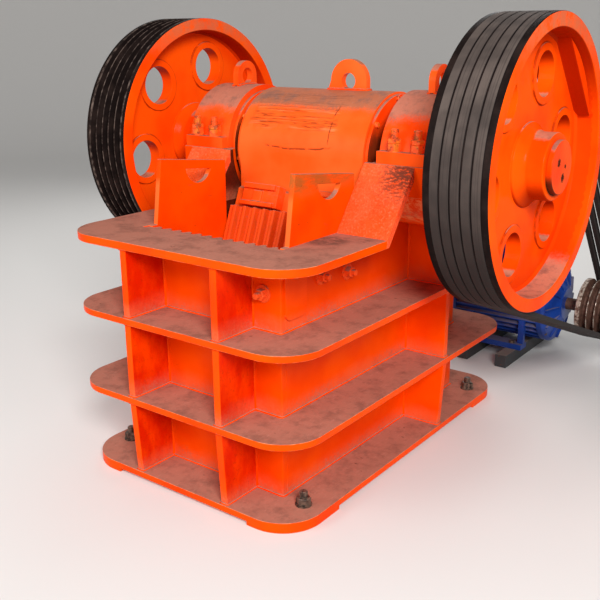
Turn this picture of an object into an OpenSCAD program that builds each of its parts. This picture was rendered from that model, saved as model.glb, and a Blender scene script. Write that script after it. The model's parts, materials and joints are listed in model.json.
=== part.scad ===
// Single-toggle jaw crusher on a welded, flanged box frame, with its belt drive.
// X runs along the eccentric shaft, Y from the fixed jaw to the toggle end, Z up.
// The origin is on the ground, at the centre of the four anchor bolt holes.

/* [Crushing chamber] */
// Clear width between the cheek plates
chamber_w = 600; // [500:10:700]
// Opening between the jaws at the top flange
gape = 390; // [330:10:450]
// Gap between the jaws at the discharge end
discharge_gap = 72; // [50:2:110]
// Height of the discharge end of the jaws above the ground
discharge_z = 140; // [120:5:200]
// Height that the moving jaw stands above the top flange
jaw_rise = 22; // [0:2:40]
// Spacing of the jaw corrugations
tooth_pitch = 50; // [40:1:60]
// Height of the corrugations
tooth_h = 20; // [12:1:28]
// Thickness of a jaw plate behind its corrugations
jaw_back_t = 30; // [20:1:40]
// Side clearance of the swing jaw to each cheek plate
jaw_side_gap = 8; // [5:1:14]
// Thickness of the cheek plates
cheek_t = 22; // [16:1:30]
// Height of the cheek plates above the top flange, at the front
cheek_rise = 240; // [200:5:280]
// Drop of the cheek plate's top edge towards the shaft
cheek_drop = 42; // [20:2:60]
// Width of the half-round lifting window in a cheek plate
window_w = 140; // [100:2:160]

/* [Frame] */
// Thickness of the side walls
wall_t = 23; // [16:1:32]
// Thickness of the front and rear walls
end_wall_t = 25; // [16:1:36]
// Outside length of the frame box
box_l = 1270; // [1200:10:1340]
// Reach of the lower, upper and top flanges beyond the box
flange_out = 190; // [180:5:220]
// Reach of the base flange beyond the box
base_out = 172; // [165:1:180]
// Thickness of the base, lower and upper flanges
flange_t = 25; // [18:1:32]
// Thickness of the top flange and the slope plates
top_flange_t = 30; // [22:1:38]
// Length of the top flange's front part, back to the slope plates
top_front_l = 545; // [530:5:560]
// Corner radius of the flanges
corner_r = 160; // [120:5:165]
// Thickness of the pads under the base corners
pad_t = 15; // [8:1:20]
// Length of a base pad along the machine
pad_l = 275; // [240:5:340]
// Width of a base pad across the machine
pad_w = 200; // [180:5:260]
// Clear height of the lower and middle bays
bay_h = 280; // [250:5:320]
// Clear height of the top bay
top_bay_h = 250; // [230:5:280]
// Thickness of the stiffening ribs
rib_t = 30; // [20:1:40]
// Distance between the two ribs on an end wall
rib_spacing = 420; // [360:10:460]
// Place of the side rib behind the middle of the frame
side_rib_y = 205; // [150:5:260]
// Inset of the ribs from the flange edges
rib_inset = 10; // [5:1:20]

/* [Anchor bolts] */
// Spacing of the anchor bolt holes across the machine
anchor_x = 870; // [820:10:900]
// Spacing of the anchor bolt holes along the machine
anchor_y = 1270; // [1200:10:1330]
// Diameter of the anchor bolt holes
anchor_d = 36; // [30:1:42]

/* [Shaft and bearings] */
// Distance of the shaft axis behind the middle of the frame
shaft_y = 175; // [150:5:200]
// Height of the shaft axis above the top flange
shaft_rise = 230; // [215:5:245]
// Eccentricity of the shaft
ecc = 12; // [8:0.5:15]
// Diameter of the eccentric part of the shaft
ecc_d = 200; // [190:2:216]
// Diameter of the main journals
journal_d = 160; // [144:2:164]
// Diameter of the wheel seats
seat_d = 140; // [120:2:142]
// Running clearance of the shaft in its bearings
run_gap = 0.3; // [0.3:0.05:0.5]
// Outside radius of the bearing caps
cap_r = 245; // [230:1:250]
// Bore radius of the bearing housing
housing_r = 145; // [135:1:155]
// Length of a bearing cap along the shaft
cap_l = 214; // [190:2:230]
// Distance of a bearing cap's inner face from the middle of the shaft
cap_x = 366; // [360:1:374]
// Reach of the cap's feet beyond its half round
foot_out = 30; // [26:1:36]
// Height of the cap's feet
foot_h = 45; // [38:1:60]
// Thickness of the bearing end covers
cover_t = 16; // [10:1:18]
// Radius of the inner end covers, beside the pitman
inner_cover_r = 222; // [200:1:226]

/* [Pitman] */
// Radius of the pitman's head
head_r = 245; // [238:1:248]
// Length of the pitman's head along the shaft, with its end covers
head_l = 632; // [616:2:640]
// Thickness of the pitman's end covers
head_cover_t = 16; // [10:1:20]
// Height of the head's lower front edge below the shaft
head_drop = 140; // [120:5:150]
// Thickness of the lifting lugs
lug_t = 28; // [20:1:36]
// Diameter of the holes in the lifting lugs
lug_d = 64; // [50:2:68]

/* [Wheels] */
// Diameter of the flywheel and the drive wheel
wheel_d = 1040; // [1000:10:1060]
// Distance of a wheel's inner face from the middle of the shaft
wheel_x = 695; // [685:5:710]
// Number of belts and grooves
belts = 5; // [4:1:5]
// Spacing of the grooves
belt_pitch = 37; // [36.5:0.5:38]
// Width of a wheel's rim
rim_w = 232; // [228:2:240]
// Depth of the rim outside its inner edge
rim_t = 55; // [50:1:60]
// Thickness of the wheel's web
web_t = 48; // [40:1:56]
// Distance from the rim's inner face to the web
web_in = 90; // [80:2:100]
// Radius of the hub where it leaves the web
hub_r = 152; // [146:1:165]
// Radius of the hub's nose
nose_r = 120; // [110:1:128]
// Length of the hub's flare, from the web along the shaft
flare_l = 46; // [36:1:60]
// Diameter of the lightening holes
hole_d = 160; // [140:2:170]
// Radius of the circle of lightening holes
hole_circle_r = 325; // [315:1:330]
// Radius of the raised ring around a lightening hole
ring_r = 108; // [100:1:110]
// Height of the raised ring
ring_h = 6; // [4:1:10]
// Angle of the counterweight behind the vertical
balance_a = 47.5; // [30:0.5:60]
// Distance of the counterweight's flat side from the shaft axis
balance_r = 422; // [414:1:440]
// Thickness of the counterweight
balance_t = 58; // [30:1:70]

/* [Drive] */
// Width of a belt at its back
belt_w = 32; // [30:0.5:32]
// Thickness of a belt
belt_h = 19; // [17:0.5:20]
// Side clearance of a belt in its groove
belt_gap = 0.5; // [0.4:0.1:0.8]
// Diameter of the motor sheave
sheave_d = 292; // [270:2:310]
// Distance of the motor shaft behind the middle of the frame
motor_y = 1390; // [1340:10:1440]
// Height of the motor shaft above its feet
motor_h = 225; // [215:5:240]
// Radius of the motor's finned body
motor_r = 205; // [195:1:210]
// Length of the motor's finned body
motor_l = 440; // [400:10:470]
// Height of the slide rails under the motor
rail_h = 65; // [50:1:80]
// Length of the slide rails
rail_l = 660; // [600:10:720]
// Width of the slide rails
rail_w = 60; // [50:2:80]
// Length of the motor's terminal box
term_l = 180; // [150:5:200]

/* [Hidden] */
$fn = 96;
cut = 1;

// Heights of the frame, from the ground up
base_z = pad_t + flange_t;
lower_z = base_z + bay_h + flange_t;
upper_z = lower_z + bay_h + flange_t;
wall_top_z = upper_z + top_bay_h;
top_z = wall_top_z + top_flange_t;
shaft_z = top_z + shaft_rise;

// Plan of the frame
liner_gap = 0.5;
wall_in_x = chamber_w / 2 + cheek_t + liner_gap;
box_x = wall_in_x + wall_t;
box_y = box_l / 2;
flange_x = box_x + flange_out;
flange_y = box_y + flange_out;
base_x = box_x + base_out;
base_y = box_y + base_out;
chamber_front_y = -box_y + end_wall_t;

// Jaws: [y, z] points of the moving jaw's crest line
fixed_face_y = chamber_front_y + jaw_back_t + tooth_h;
jaw_top = [fixed_face_y + gape, top_z + jaw_rise];
jaw_toe = [fixed_face_y + discharge_gap, discharge_z];
jaw_len = norm(jaw_top - jaw_toe);
jaw_dir = (jaw_top - jaw_toe) / jaw_len;
jaw_back = [jaw_dir.y, -jaw_dir.x];
jaw_tilt = atan2(jaw_dir.x, jaw_dir.y);
jaw_depth = jaw_back_t + tooth_h;
jaw_x = chamber_w / 2 - jaw_side_gap;
seat_top = jaw_top + jaw_depth * jaw_back;
seat_toe = jaw_toe + jaw_depth * jaw_back;

// The eccentric lies opposite the counterweights
ecc_y = -ecc * sin(balance_a);
ecc_z = -ecc * cos(balance_a);
head_y = shaft_y + ecc_y;
head_z = shaft_z + ecc_z;
head_x = head_l / 2;
ecc_half = head_x - 66;
open_gap = ecc + 6;

// Slope plates run from the top flange to the bearing seats
bend_y = top_front_l - flange_y;
seat_front_y = shaft_y - cap_r - foot_out - 5;
seat_rear_y = shaft_y + cap_r + foot_out + 5;
slope_run = seat_front_y - bend_y;
slope_rise = shaft_z - top_z;
slope_len = norm([slope_run, slope_rise]);
slope_drop = top_flange_t * slope_len / slope_run;
rear_bend_y = seat_rear_y + slope_run;
seat_depth = 250;
cover_r = housing_r + 27;
bearing_w = 88;

// Swing jaw linkage: [y, z] of the toggle ends and of the tension rod's pin
cap_lug_r = 62;
cap_lug_h = 40;
head_lug_r = 84;
head_lug_x = 81;
head_lug_foot = 30;
head_lug_z = head_z + head_r + lug_d / 2 + 2;
toggle_r = 26;
toggle_t = 40;
toggle_w = 480;
toggle_front = [-30, 330];
toggle_rear = [430, 420];
toggle_a = atan2(toggle_rear.y - toggle_front.y, toggle_rear.x - toggle_front.x);
beam_y = 540;
beam_w = 2 * (wall_in_x - 1);
beam_top = 100;
block_t = 70;
block_top = 70;
ledge_z = 330;
ledge_t = 25;
pitman_seat_y = toggle_front.x - toggle_r - open_gap - ecc;
pitman_rear_y = toggle_front.x + 8;
pitman_heel_z = 440;
pitman_waist = [pitman_rear_y + 30, 560];
rod_r = 18;
rod_z = 165;
rod_pin = [-215, rod_z];
rod_eye = [rod_pin.x - ecc_y, rod_z - ecc_z];
rod_eye_r = rod_r + open_gap;
rod_lug_x = 32;
spring_r = 42;
spring_wire_r = 8;
spring_turns = 7;
spring_front_y = box_y + 20;
spring_l = 170;
rod_end_y = spring_front_y + spring_l + 75;

// Wheels
wheel_r = wheel_d / 2;
groove_half_a = 18;
groove_depth = belt_h + 9;
belt_stand = 1;
groove_w = belt_w + 2 * belt_gap;
web_x = wheel_x + web_in;
flare_foot = 8;
hub_in_x = cap_x + cap_l + cover_t + 40;
hub_out_x = wheel_x + rim_w + 12;
end_plate_t = 20;
groove_x = [for (i = [0 : belts - 1]) wheel_x + rim_w / 2 + (i - (belts - 1) / 2) * belt_pitch];

// Drive
motor_z = rail_h + motor_h;
sheave_r = sheave_d / 2;
drive_len = norm([motor_y - shaft_y, motor_z - shaft_z]);
drive_a = atan2(motor_z - shaft_z, motor_y - shaft_y);
motor_bell_l = 85;
motor_bell_r = 120;
motor_boss_r = 80;
motor_cowl_l = 110;
motor_x = wheel_x - 85 - motor_bell_l - motor_l;
motor_foot_y = 178;
motor_foot_w = 70;
motor_foot_h = 28;
motor_shaft_r = 30;
box_seat_h = motor_r + 6;

paint = "orangered";
steel = "slategray";
belt_black = "dimgray";
motor_blue = "royalblue";

// Extrudes an outline drawn as [y, z] along X, between two x places
module along_x(x0, x1) {
  translate([x0, 0, 0]) rotate([90, 0, 90]) linear_extrude(x1 - x0) children();
}

// Turns a shape revolved about Z so that its axis lies along X
module on_shaft(y, z) {
  translate([0, y, z]) rotate([90, 0, 90]) children();
}

module rounded_plan(hx, hy, r) {
  square([2 * hx, 2 * (hy - r)], center = true);
  square([2 * (hx - r), 2 * hy], center = true);
  for (sx = [-1, 1], sy = [-1, 1]) translate([sx * (hx - r), sy * (hy - r)]) circle(r);
}

module ring_plan(out) {
  difference() {
    rounded_plan(box_x + out, box_y + out, corner_r);
    square([2 * box_x, 2 * box_y], center = true);
  }
}

module flange_ring(z) {
  color(paint) translate([0, 0, z]) linear_extrude(flange_t) ring_plan(flange_out);
}

// The base flange stands on a pad under each corner
module base_flange() {
  color(paint) difference() {
    union() {
      translate([0, 0, pad_t]) linear_extrude(flange_t) ring_plan(base_out);
      linear_extrude(pad_t + cut) difference() {
        ring_plan(base_out);
        square([2 * (base_x - pad_w), 3 * base_y], center = true);
        square([3 * base_x, 2 * (base_y - pad_l)], center = true);
      }
    }
    for (sx = [-1, 1], sy = [-1, 1])
      translate([sx * anchor_x / 2, sy * anchor_y / 2, -cut]) cylinder(d = anchor_d, h = base_z + 2 * cut);
  }
}

module lower_flange() { flange_ring(lower_z - flange_t); }
module upper_flange() { flange_ring(upper_z - flange_t); }

// The top flange has a front and a rear part, with the slope plates between
module top_flange() {
  color(paint) translate([0, 0, wall_top_z]) linear_extrude(top_flange_t) difference() {
    rounded_plan(flange_x, flange_y, corner_r);
    translate([-2 * flange_x, bend_y]) square([4 * flange_x, rear_bend_y - bend_y]);
    translate([-wall_in_x, chamber_front_y]) square([2 * wall_in_x, box_y - end_wall_t - chamber_front_y]);
  }
}

module end_wall(y) {
  color(paint) translate([-box_x, y, pad_t]) cube([2 * box_x, end_wall_t, wall_top_z - pad_t]);
}
module front_wall() { end_wall(-box_y); }

// The rear wall lets the tension rod through and carries the spring's seat
module rear_wall() {
  color(paint) difference() {
    union() {
      end_wall(box_y - end_wall_t);
      translate([0, box_y - cut, rod_eye.y]) rotate([-90, 0, 0])
        cylinder(r = spring_r + 16, h = spring_front_y - box_y + cut);
    }
    translate([0, spring_front_y + cut, rod_eye.y]) rotate([90, 0, 0])
      cylinder(r = rod_r + 8, h = spring_front_y - box_y + end_wall_t + 2 * cut);
  }
}

// A side wall follows the slope plates and is cut out around the shaft
module side_wall() {
  color(paint) along_x(wall_in_x, box_x) difference() {
    polygon([
      [chamber_front_y, pad_t], [box_y - end_wall_t, pad_t],
      [box_y - end_wall_t, wall_top_z],
      [min(rear_bend_y, box_y - end_wall_t), wall_top_z],
      [seat_rear_y, shaft_z - slope_drop], [seat_rear_y, shaft_z],
      [seat_front_y, shaft_z], [seat_front_y, shaft_z - slope_drop],
      [bend_y + slope_run * (slope_drop - top_flange_t) / slope_rise, wall_top_z],
      [chamber_front_y, wall_top_z]
    ]);
    translate([shaft_y, shaft_z]) circle(head_r + ecc + 6);
  }
}
module left_side_wall() { mirror([1, 0, 0]) side_wall(); }
module right_side_wall() { side_wall(); }

// Bays of the frame, as [floor height, clear height, reach of the flange under it]
bays = [[base_z, bay_h, base_out], [lower_z, bay_h, flange_out], [upper_z, top_bay_h, flange_out]];

// A rib drawn as [outwards, up], whose edge follows the flanges below and above it
module rib_outline(bay) {
  low = bay[2] - rib_inset;
  high = flange_out - rib_inset;
  polygon([[0, bay[0]], [low, bay[0]], [high, bay[0] + bay[1]], [0, bay[0] + bay[1]]]);
}

module end_ribs() {
  color(paint) for (sx = [-1, 1], bay = bays)
    translate([sx * rib_spacing / 2 + rib_t / 2, -box_y, 0]) rotate([90, 0, -90])
      linear_extrude(rib_t) rib_outline(bay);
}
module front_ribs() { end_ribs(); }
module rear_ribs() { mirror([0, 1, 0]) end_ribs(); }

// Side ribs carry the flanges, and the top one carries the bearing seat
module side_ribs() {
  color(paint) for (bay = [bays[0], bays[1], [upper_z, shaft_z - seat_depth - upper_z, flange_out]])
    translate([box_x, side_rib_y + rib_t, 0]) rotate([90, 0, 0]) linear_extrude(rib_t) rib_outline(bay);
}
module left_side_ribs() { mirror([1, 0, 0]) side_ribs(); }
module right_side_ribs() { side_ribs(); }

module slope_outline() {
  polygon([
    [bend_y, top_z], [seat_front_y, shaft_z], [seat_front_y, shaft_z - slope_drop],
    [bend_y + slope_run * (slope_drop - top_flange_t) / slope_rise, wall_top_z], [bend_y, wall_top_z]
  ]);
}
module slope_plate() { color(paint) along_x(wall_in_x, flange_x) slope_outline(); }
module slope_plate_left() { mirror([1, 0, 0]) slope_plate(); }
module slope_plate_right() { slope_plate(); }

module rear_slope_plates() {
  color(paint) for (m = [0, 1]) mirror([m, 0, 0]) along_x(wall_in_x, flange_x)
    translate([seat_front_y + seat_rear_y, 0]) mirror([1, 0]) slope_outline();
}

// A seat block outside the wall holds the lower half of the bearing
module bearing_seat() {
  color(paint) difference() {
    along_x(box_x, cap_x + cap_l) {
      translate([seat_front_y, shaft_z - 110]) square([seat_rear_y - seat_front_y, 110]);
      intersection() {
        translate([shaft_y, shaft_z]) circle(seat_depth + 14);
        translate([seat_front_y, shaft_z - seat_depth]) square([seat_rear_y - seat_front_y, seat_depth - 50]);
      }
    }
    on_shaft(shaft_y, shaft_z) cylinder(r = housing_r, h = 2 * (cap_x + cap_l));
    on_shaft(shaft_y, shaft_z) cylinder(r = inner_cover_r + 1, h = cap_x);
  }
}
module bearing_seat_left() { mirror([1, 0, 0]) bearing_seat(); }
module bearing_seat_right() { bearing_seat(); }

// Upper half of a lifting lug, drawn with its foot on the x axis
module lug_outline(r, h, foot = 0) {
  difference() {
    union() {
      polygon([[-r - foot, 0], [r, 0], [r, h], [-r, h]]);
      translate([0, h]) circle(r);
    }
    translate([0, h]) circle(lug_d / 2);
  }
}

// A split bearing cap: half round body, front and rear feet, and a lifting lug
module bearing_cap() {
  color(paint) difference() {
    union() {
      along_x(cap_x, cap_x + cap_l) intersection() {
        translate([shaft_y, shaft_z]) circle(cap_r);
        translate([shaft_y - 2 * cap_r, shaft_z]) square([4 * cap_r, 2 * cap_r]);
      }
      translate([cap_x + 6, shaft_y - cap_r - foot_out, shaft_z])
        cube([cap_l - 12, 2 * (cap_r + foot_out), foot_h]);
      along_x(cap_x + cap_l / 2 - lug_t / 2, cap_x + cap_l / 2 + lug_t / 2)
        translate([shaft_y, shaft_z + cap_r - 5]) lug_outline(cap_lug_r, cap_lug_h);
    }
    on_shaft(shaft_y, shaft_z) cylinder(r = housing_r, h = 2 * (cap_x + cap_l));
  }
}
module bearing_cap_left() { mirror([1, 0, 0]) bearing_cap(); }
module bearing_cap_right() { bearing_cap(); }

module main_bearings() {
  color(steel) for (m = [0, 1]) mirror([m, 0, 0])
    on_shaft(shaft_y, shaft_z) translate([0, 0, cap_x + cap_l / 2 - bearing_w / 2]) difference() {
      cylinder(r = housing_r - 0.1, h = bearing_w);
      translate([0, 0, -cut]) cylinder(r = journal_d / 2 + run_gap, h = bearing_w + 2 * cut);
    }
}

// End covers close the housing on both sides of the bearing
module bearing_covers() {
  color(paint) for (m = [0, 1]) mirror([m, 0, 0]) on_shaft(shaft_y, shaft_z)
    for (c = [[cap_x - cover_t, inner_cover_r], [cap_x + cap_l, cover_r]])
      translate([0, 0, c[0]]) difference() {
        cylinder(r = c[1], h = cover_t);
        translate([0, 0, -cut]) cylinder(r = journal_d / 2 + 5, h = cover_t + 2 * cut);
      }
}

// A cheek plate lines the chamber and stands above the top flange
cheek_front_y = fixed_face_y + 5;
cheek_rear_y = jaw_top.x + 5;
window_rise = 18;
module cheek_plate() {
  color(paint) along_x(chamber_w / 2, chamber_w / 2 + cheek_t) difference() {
    polygon([
      [fixed_face_y - tooth_h, discharge_z], [jaw_toe.x + 90, discharge_z],
      [cheek_rear_y, top_z - 60], [cheek_rear_y, top_z + cheek_rise - cheek_drop],
      [cheek_front_y + 35, top_z + cheek_rise], [cheek_front_y, top_z],
      [fixed_face_y - tooth_h, top_z]
    ]);
    translate([(cheek_front_y + cheek_rear_y) / 2 + 38, top_z + cheek_rise - 58])
      rotate(-atan2(cheek_drop, cheek_rear_y - cheek_front_y)) intersection() {
        translate([0, window_rise]) circle(norm([window_w / 2, window_rise]));
        translate([-window_w, -window_w]) square([2 * window_w, window_w]);
      }
  }
}
module cheek_plate_left() { mirror([1, 0, 0]) cheek_plate(); }
module cheek_plate_right() { cheek_plate(); }

// Plan of a corrugated jaw plate: back on the x axis, crests towards -y
module jaw_plan(half_w, first, count) {
  crest = tooth_pitch * 0.26;
  root = tooth_pitch * 0.72;
  polygon(concat(
    [[-half_w, 0], [-half_w, -jaw_back_t]],
    [for (i = [0 : count - 1]) each
      let (x = first + i * tooth_pitch)
      [[x - root / 2, -jaw_back_t], [x - crest / 2, -jaw_depth],
       [x + crest / 2, -jaw_depth], [x + root / 2, -jaw_back_t]]],
    [[half_w, -jaw_back_t], [half_w, 0]]
  ));
}

fixed_teeth = floor(chamber_w / tooth_pitch);
module fixed_jaw_plate() {
  color(paint) translate([0, chamber_front_y, discharge_z - 20]) linear_extrude(top_z - discharge_z + 16)
    mirror([0, 1]) jaw_plan(wall_in_x, -(fixed_teeth - 1) * tooth_pitch / 2, fixed_teeth);
}

moving_teeth = fixed_teeth - 1;
module moving_jaw_plate() {
  color(paint) translate([0, seat_toe.x, seat_toe.y]) rotate([-jaw_tilt, 0, 0]) linear_extrude(jaw_len)
    jaw_plan(jaw_x, -(moving_teeth - 1) * tooth_pitch / 2, moving_teeth);
}

// Wedge clamps hold the moving jaw plate down on the pitman's face
clamp_w = 178;
clamp_x = 48;
clamp_h = 90;
clamp_t = 46;
clamp_bar = 14;
clamp_lift = 6;
module jaw_clamps() {
  color(paint) for (x = [-clamp_x - clamp_w, clamp_x])
    translate([x, seat_top.x, seat_top.y]) rotate([-jaw_tilt, 0, 0]) translate([0, -clamp_t, clamp_lift]) union() {
      cube([clamp_w, clamp_t, clamp_h]);
      translate([0, -clamp_bar, 0]) cube([clamp_w - clamp_bar, clamp_bar + cut, clamp_bar + 4]);
      translate([clamp_bar / 2, -clamp_bar, clamp_h - clamp_bar - 8])
        cube([clamp_w - 1.5 * clamp_bar, clamp_bar + cut, clamp_bar + 8]);
      translate([clamp_w / 3, -clamp_bar + 3, clamp_bar]) cube([clamp_w / 4, clamp_bar, clamp_h - 3 * clamp_bar]);
    }
}

// The pitman: bored head, hollow-backed body, toggle recess, rod lugs and lifting lug
pitman_face_t = 60;
head_edge_z = head_z - head_drop;
module pitman_side() {
  polygon([
    [head_y - head_r, head_z], [head_y - head_r, head_edge_z],
    seat_top + (head_edge_z - 6 - seat_top.y) / jaw_dir.y * jaw_dir,
    seat_toe - 8 * jaw_dir, seat_toe + pitman_face_t * jaw_back - 8 * jaw_dir,
    [rod_pin.x + 15, rod_z + 68], [pitman_rear_y, rod_z + 75], [pitman_rear_y, pitman_heel_z],
    pitman_waist, [head_y + head_r * cos(30), head_z - head_r * sin(30)],
    [head_y, head_z]
  ]);
}

// Hollows in the back of the pitman's body, each side of a middle web
module pitman_pockets() {
  pocket_w = jaw_x - 70;
  face_toe = seat_toe + pitman_face_t * jaw_back;
  for (sx = [-1, 1]) translate([sx * (pocket_w / 2 + 18) - pocket_w / 2, 0, 0])
    along_x(0, pocket_w) polygon([
      face_toe + 0.49 * jaw_len * jaw_dir, face_toe + 0.73 * jaw_len * jaw_dir,
      [head_y - 40, head_z - head_r + 20], [head_y + head_r + 15, head_z - head_r - 40],
      [pitman_waist.x + 30, pitman_waist.y - 60]
    ]);
}

module pitman() {
  color(paint) {
    difference() {
      union() {
        on_shaft(head_y, head_z) translate([0, 0, -head_x + head_cover_t])
          cylinder(r = head_r, h = head_l - 2 * head_cover_t);
        along_x(-jaw_x, jaw_x) pitman_side();
        translate([head_lug_x, head_y + lug_t / 2, head_z + head_r - 40]) rotate([90, 0, 0])
          linear_extrude(lug_t) lug_outline(head_lug_r, head_lug_z - head_z - head_r + 40, head_lug_foot);
        along_x(-rod_lug_x - 28, rod_lug_x + 28) {
          translate(rod_pin) circle(44);
          translate([rod_pin.x - 30, rod_pin.y]) square([60, 90]);
        }
      }
      on_shaft(head_y, head_z) translate([0, 0, -head_x - cut])
        cylinder(d = ecc_d + 2 * run_gap, h = head_l + 2 * cut);
      translate([-toggle_w / 2 - 15, pitman_seat_y, toggle_front.y - ecc_z - 62]) cube([toggle_w + 30, 90, 124]);
      along_x(-rod_lug_x, rod_lug_x) {
        translate(rod_pin) circle(rod_eye_r + 20 + open_gap);
        translate([rod_eye.x, rod_z - 80]) square([200, 80 + rod_r + open_gap + 14]);
      }
      pitman_pockets();
    }
    translate([-rod_lug_x - 1, rod_pin.x, rod_pin.y]) rotate([0, 90, 0]) cylinder(r = rod_r, h = 2 * rod_lug_x + 2);
  }
}

module pitman_end_covers() {
  color(paint) on_shaft(head_y, head_z) for (x = [-head_x, head_x - head_cover_t])
    translate([0, 0, x]) difference() {
      cylinder(r = head_r - 8, h = head_cover_t);
      translate([0, 0, -cut]) cylinder(r = journal_d / 2 + ecc + 5, h = head_cover_t + 2 * cut);
    }
}

module toggle_beam() {
  color(paint) along_x(-beam_w / 2, beam_w / 2) polygon([
    [toggle_rear.x + 8, ledge_z - ledge_t], [box_y - end_wall_t, ledge_z - ledge_t],
    [box_y - end_wall_t, toggle_rear.y + beam_top], [beam_y, toggle_rear.y + beam_top],
    [beam_y, ledge_z], [toggle_rear.x + 8, ledge_z]
  ]);
}

module toggle_block() {
  color(steel) along_x(-toggle_w / 2 - 10, toggle_w / 2 + 10) difference() {
    translate([toggle_rear.x + 8, ledge_z]) square([block_t, toggle_rear.y + block_top - ledge_z]);
    translate(toggle_rear) circle(toggle_r + 0.3);
  }
}

module adjusting_wedges() {
  color(steel) along_x(-toggle_w / 2, toggle_w / 2)
    translate([toggle_rear.x + 8 + block_t, ledge_z])
      square([beam_y - toggle_rear.x - 8 - block_t, toggle_rear.y + block_top - 10 - ledge_z]);
}

module toggle_plate() {
  color(steel) along_x(-toggle_w / 2, toggle_w / 2) {
    translate(toggle_front) circle(toggle_r);
    translate(toggle_rear) circle(toggle_r);
    translate(toggle_front) rotate(toggle_a) translate([0, -toggle_t / 2])
      square([norm(toggle_rear - toggle_front), toggle_t]);
  }
}

// The tension rod's eye hangs around the pin between the pitman's lower lugs
module tension_rod() {
  color(steel) difference() {
    union() {
      translate([-rod_lug_x + 8, rod_eye.x, rod_eye.y]) rotate([0, 90, 0])
        cylinder(r = rod_eye_r + 20, h = 2 * rod_lug_x - 16);
      translate([0, rod_eye.x + rod_eye_r + 8, rod_eye.y]) rotate([-90, 0, 0])
        cylinder(r = rod_r, h = rod_end_y - rod_eye.x - rod_eye_r - 8);
      translate([0, spring_front_y + spring_l, rod_eye.y]) rotate([-90, 0, 0]) {
        cylinder(r = spring_r + 14, h = 12);
        cylinder(r = 30, h = 44, $fn = 6);
      }
    }
    translate([-rod_lug_x, rod_eye.x, rod_eye.y]) rotate([0, 90, 0]) cylinder(r = rod_eye_r, h = 2 * rod_lug_x);
  }
}

// Points of the spring's wire, and the tube swept along them
function ring_point(turn, side, sides) = let (
    a = 360 * turn, b = 360 * side / sides,
    pitch = (spring_l - 2 * spring_wire_r) / spring_turns,
    r = spring_r + spring_wire_r * cos(b))
  [r * cos(a), spring_front_y + spring_wire_r + pitch * turn + spring_wire_r * sin(b), rod_eye.y + r * sin(a)];
module tension_spring() {
  sides = 8;
  rings = spring_turns * 18;
  color(steel) polyhedron(
    points = [for (i = [0 : rings], j = [0 : sides - 1]) ring_point(i / 18, j, sides)],
    faces = concat(
      [[for (j = [0 : sides - 1]) sides - 1 - j]],
      [for (i = [0 : rings - 1], j = [0 : sides - 1])
        [i * sides + j, i * sides + (j + 1) % sides, (i + 1) * sides + (j + 1) % sides, (i + 1) * sides + j]],
      [[for (j = [0 : sides - 1]) rings * sides + j]]
    ));
}

// The shaft: an eccentric middle, journals and wheel seats
module eccentric_shaft() {
  journal_end = hub_in_x - 10;
  color(steel) {
    on_shaft(head_y, head_z) translate([0, 0, -ecc_half]) cylinder(d = ecc_d, h = 2 * ecc_half);
    on_shaft(shaft_y, shaft_z) translate([0, 0, -journal_end]) cylinder(d = journal_d, h = 2 * journal_end);
    on_shaft(shaft_y, shaft_z) translate([0, 0, -hub_out_x]) cylinder(d = seat_d, h = 2 * hub_out_x);
  }
}

// Outline of one groove, drawn as [radius, x], from the outer side inwards
function groove_points(x, r) = let (
    half = groove_w / 2, foot = half - groove_depth * tan(groove_half_a))
  [[r, x + half], [r - groove_depth, x + foot], [r - groove_depth, x - foot], [r, x - half]];

// Points of the hub's flare on one side of the web: a low foot, then a trumpet curve to the nose
flare_steps = 6;
function flare_point(web, side, k) = k < 2 ? [hub_r, web + side * flare_foot * k] : let (
    t = (k - 2) / flare_steps, start = flare_foot + 4)
  [nose_r + (hub_r - 4 - nose_r) * pow(1 - t, 1.5), web + side * (start + (flare_l - start) * t)];

module wheel_profile() {
  rim_in = wheel_r - rim_t;
  out_x = wheel_x + rim_w;
  web_out = web_x + web_t;
  bore = seat_d / 2 + 0.2;
  polygon(concat(
    [[bore, hub_in_x], [nose_r, hub_in_x]],
    [for (k = [flare_steps + 2 : -1 : 0]) flare_point(web_x, -1, k)],
    [[rim_in - 10, web_x], [rim_in, web_x - 10],
     [rim_in + 3, wheel_x + 3], [rim_in + 6, wheel_x], [wheel_r - 3, wheel_x], [wheel_r, wheel_x + 3]],
    [for (i = [0 : belts - 1]) each let (g = groove_points(groove_x[i], wheel_r)) [g[3], g[2], g[1], g[0]]],
    [[wheel_r, out_x - 3], [wheel_r - 3, out_x], [rim_in + 6, out_x], [rim_in + 3, out_x - 3],
     [rim_in, web_out + 10], [rim_in - 10, web_out]],
    [for (k = [0 : flare_steps + 2]) flare_point(web_out, 1, k)],
    [[nose_r, hub_out_x - 4], [nose_r - 4, hub_out_x], [bore, hub_out_x]]
  ));
}

// A deep-dished wheel with V grooves, ringed lightening holes and a counterweight
module wheel() {
  color(paint) on_shaft(shaft_y, shaft_z) difference() {
    union() {
      rotate_extrude() wheel_profile();
      for (k = [0 : 5]) rotate(90 - (balance_a + 30 + 60 * k)) translate([hole_circle_r, 0, web_x - ring_h])
        cylinder(r = ring_r, h = web_t + 2 * ring_h);
      rotate(90 - balance_a) translate([0, 0, web_x + web_t - cut])
        linear_extrude(balance_t + cut) intersection() {
          circle(wheel_r - rim_t + 1);
          translate([balance_r, -wheel_r]) square([wheel_r, 2 * wheel_r]);
        }
    }
    for (k = [0 : 5]) rotate(90 - (balance_a + 30 + 60 * k))
      translate([hole_circle_r, 0, web_x - ring_h - cut]) cylinder(d = hole_d, h = web_t + 2 * (ring_h + cut));
  }
}
module flywheel_left() { mirror([1, 0, 0]) wheel(); }
module drive_wheel_right() { wheel(); }

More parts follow.
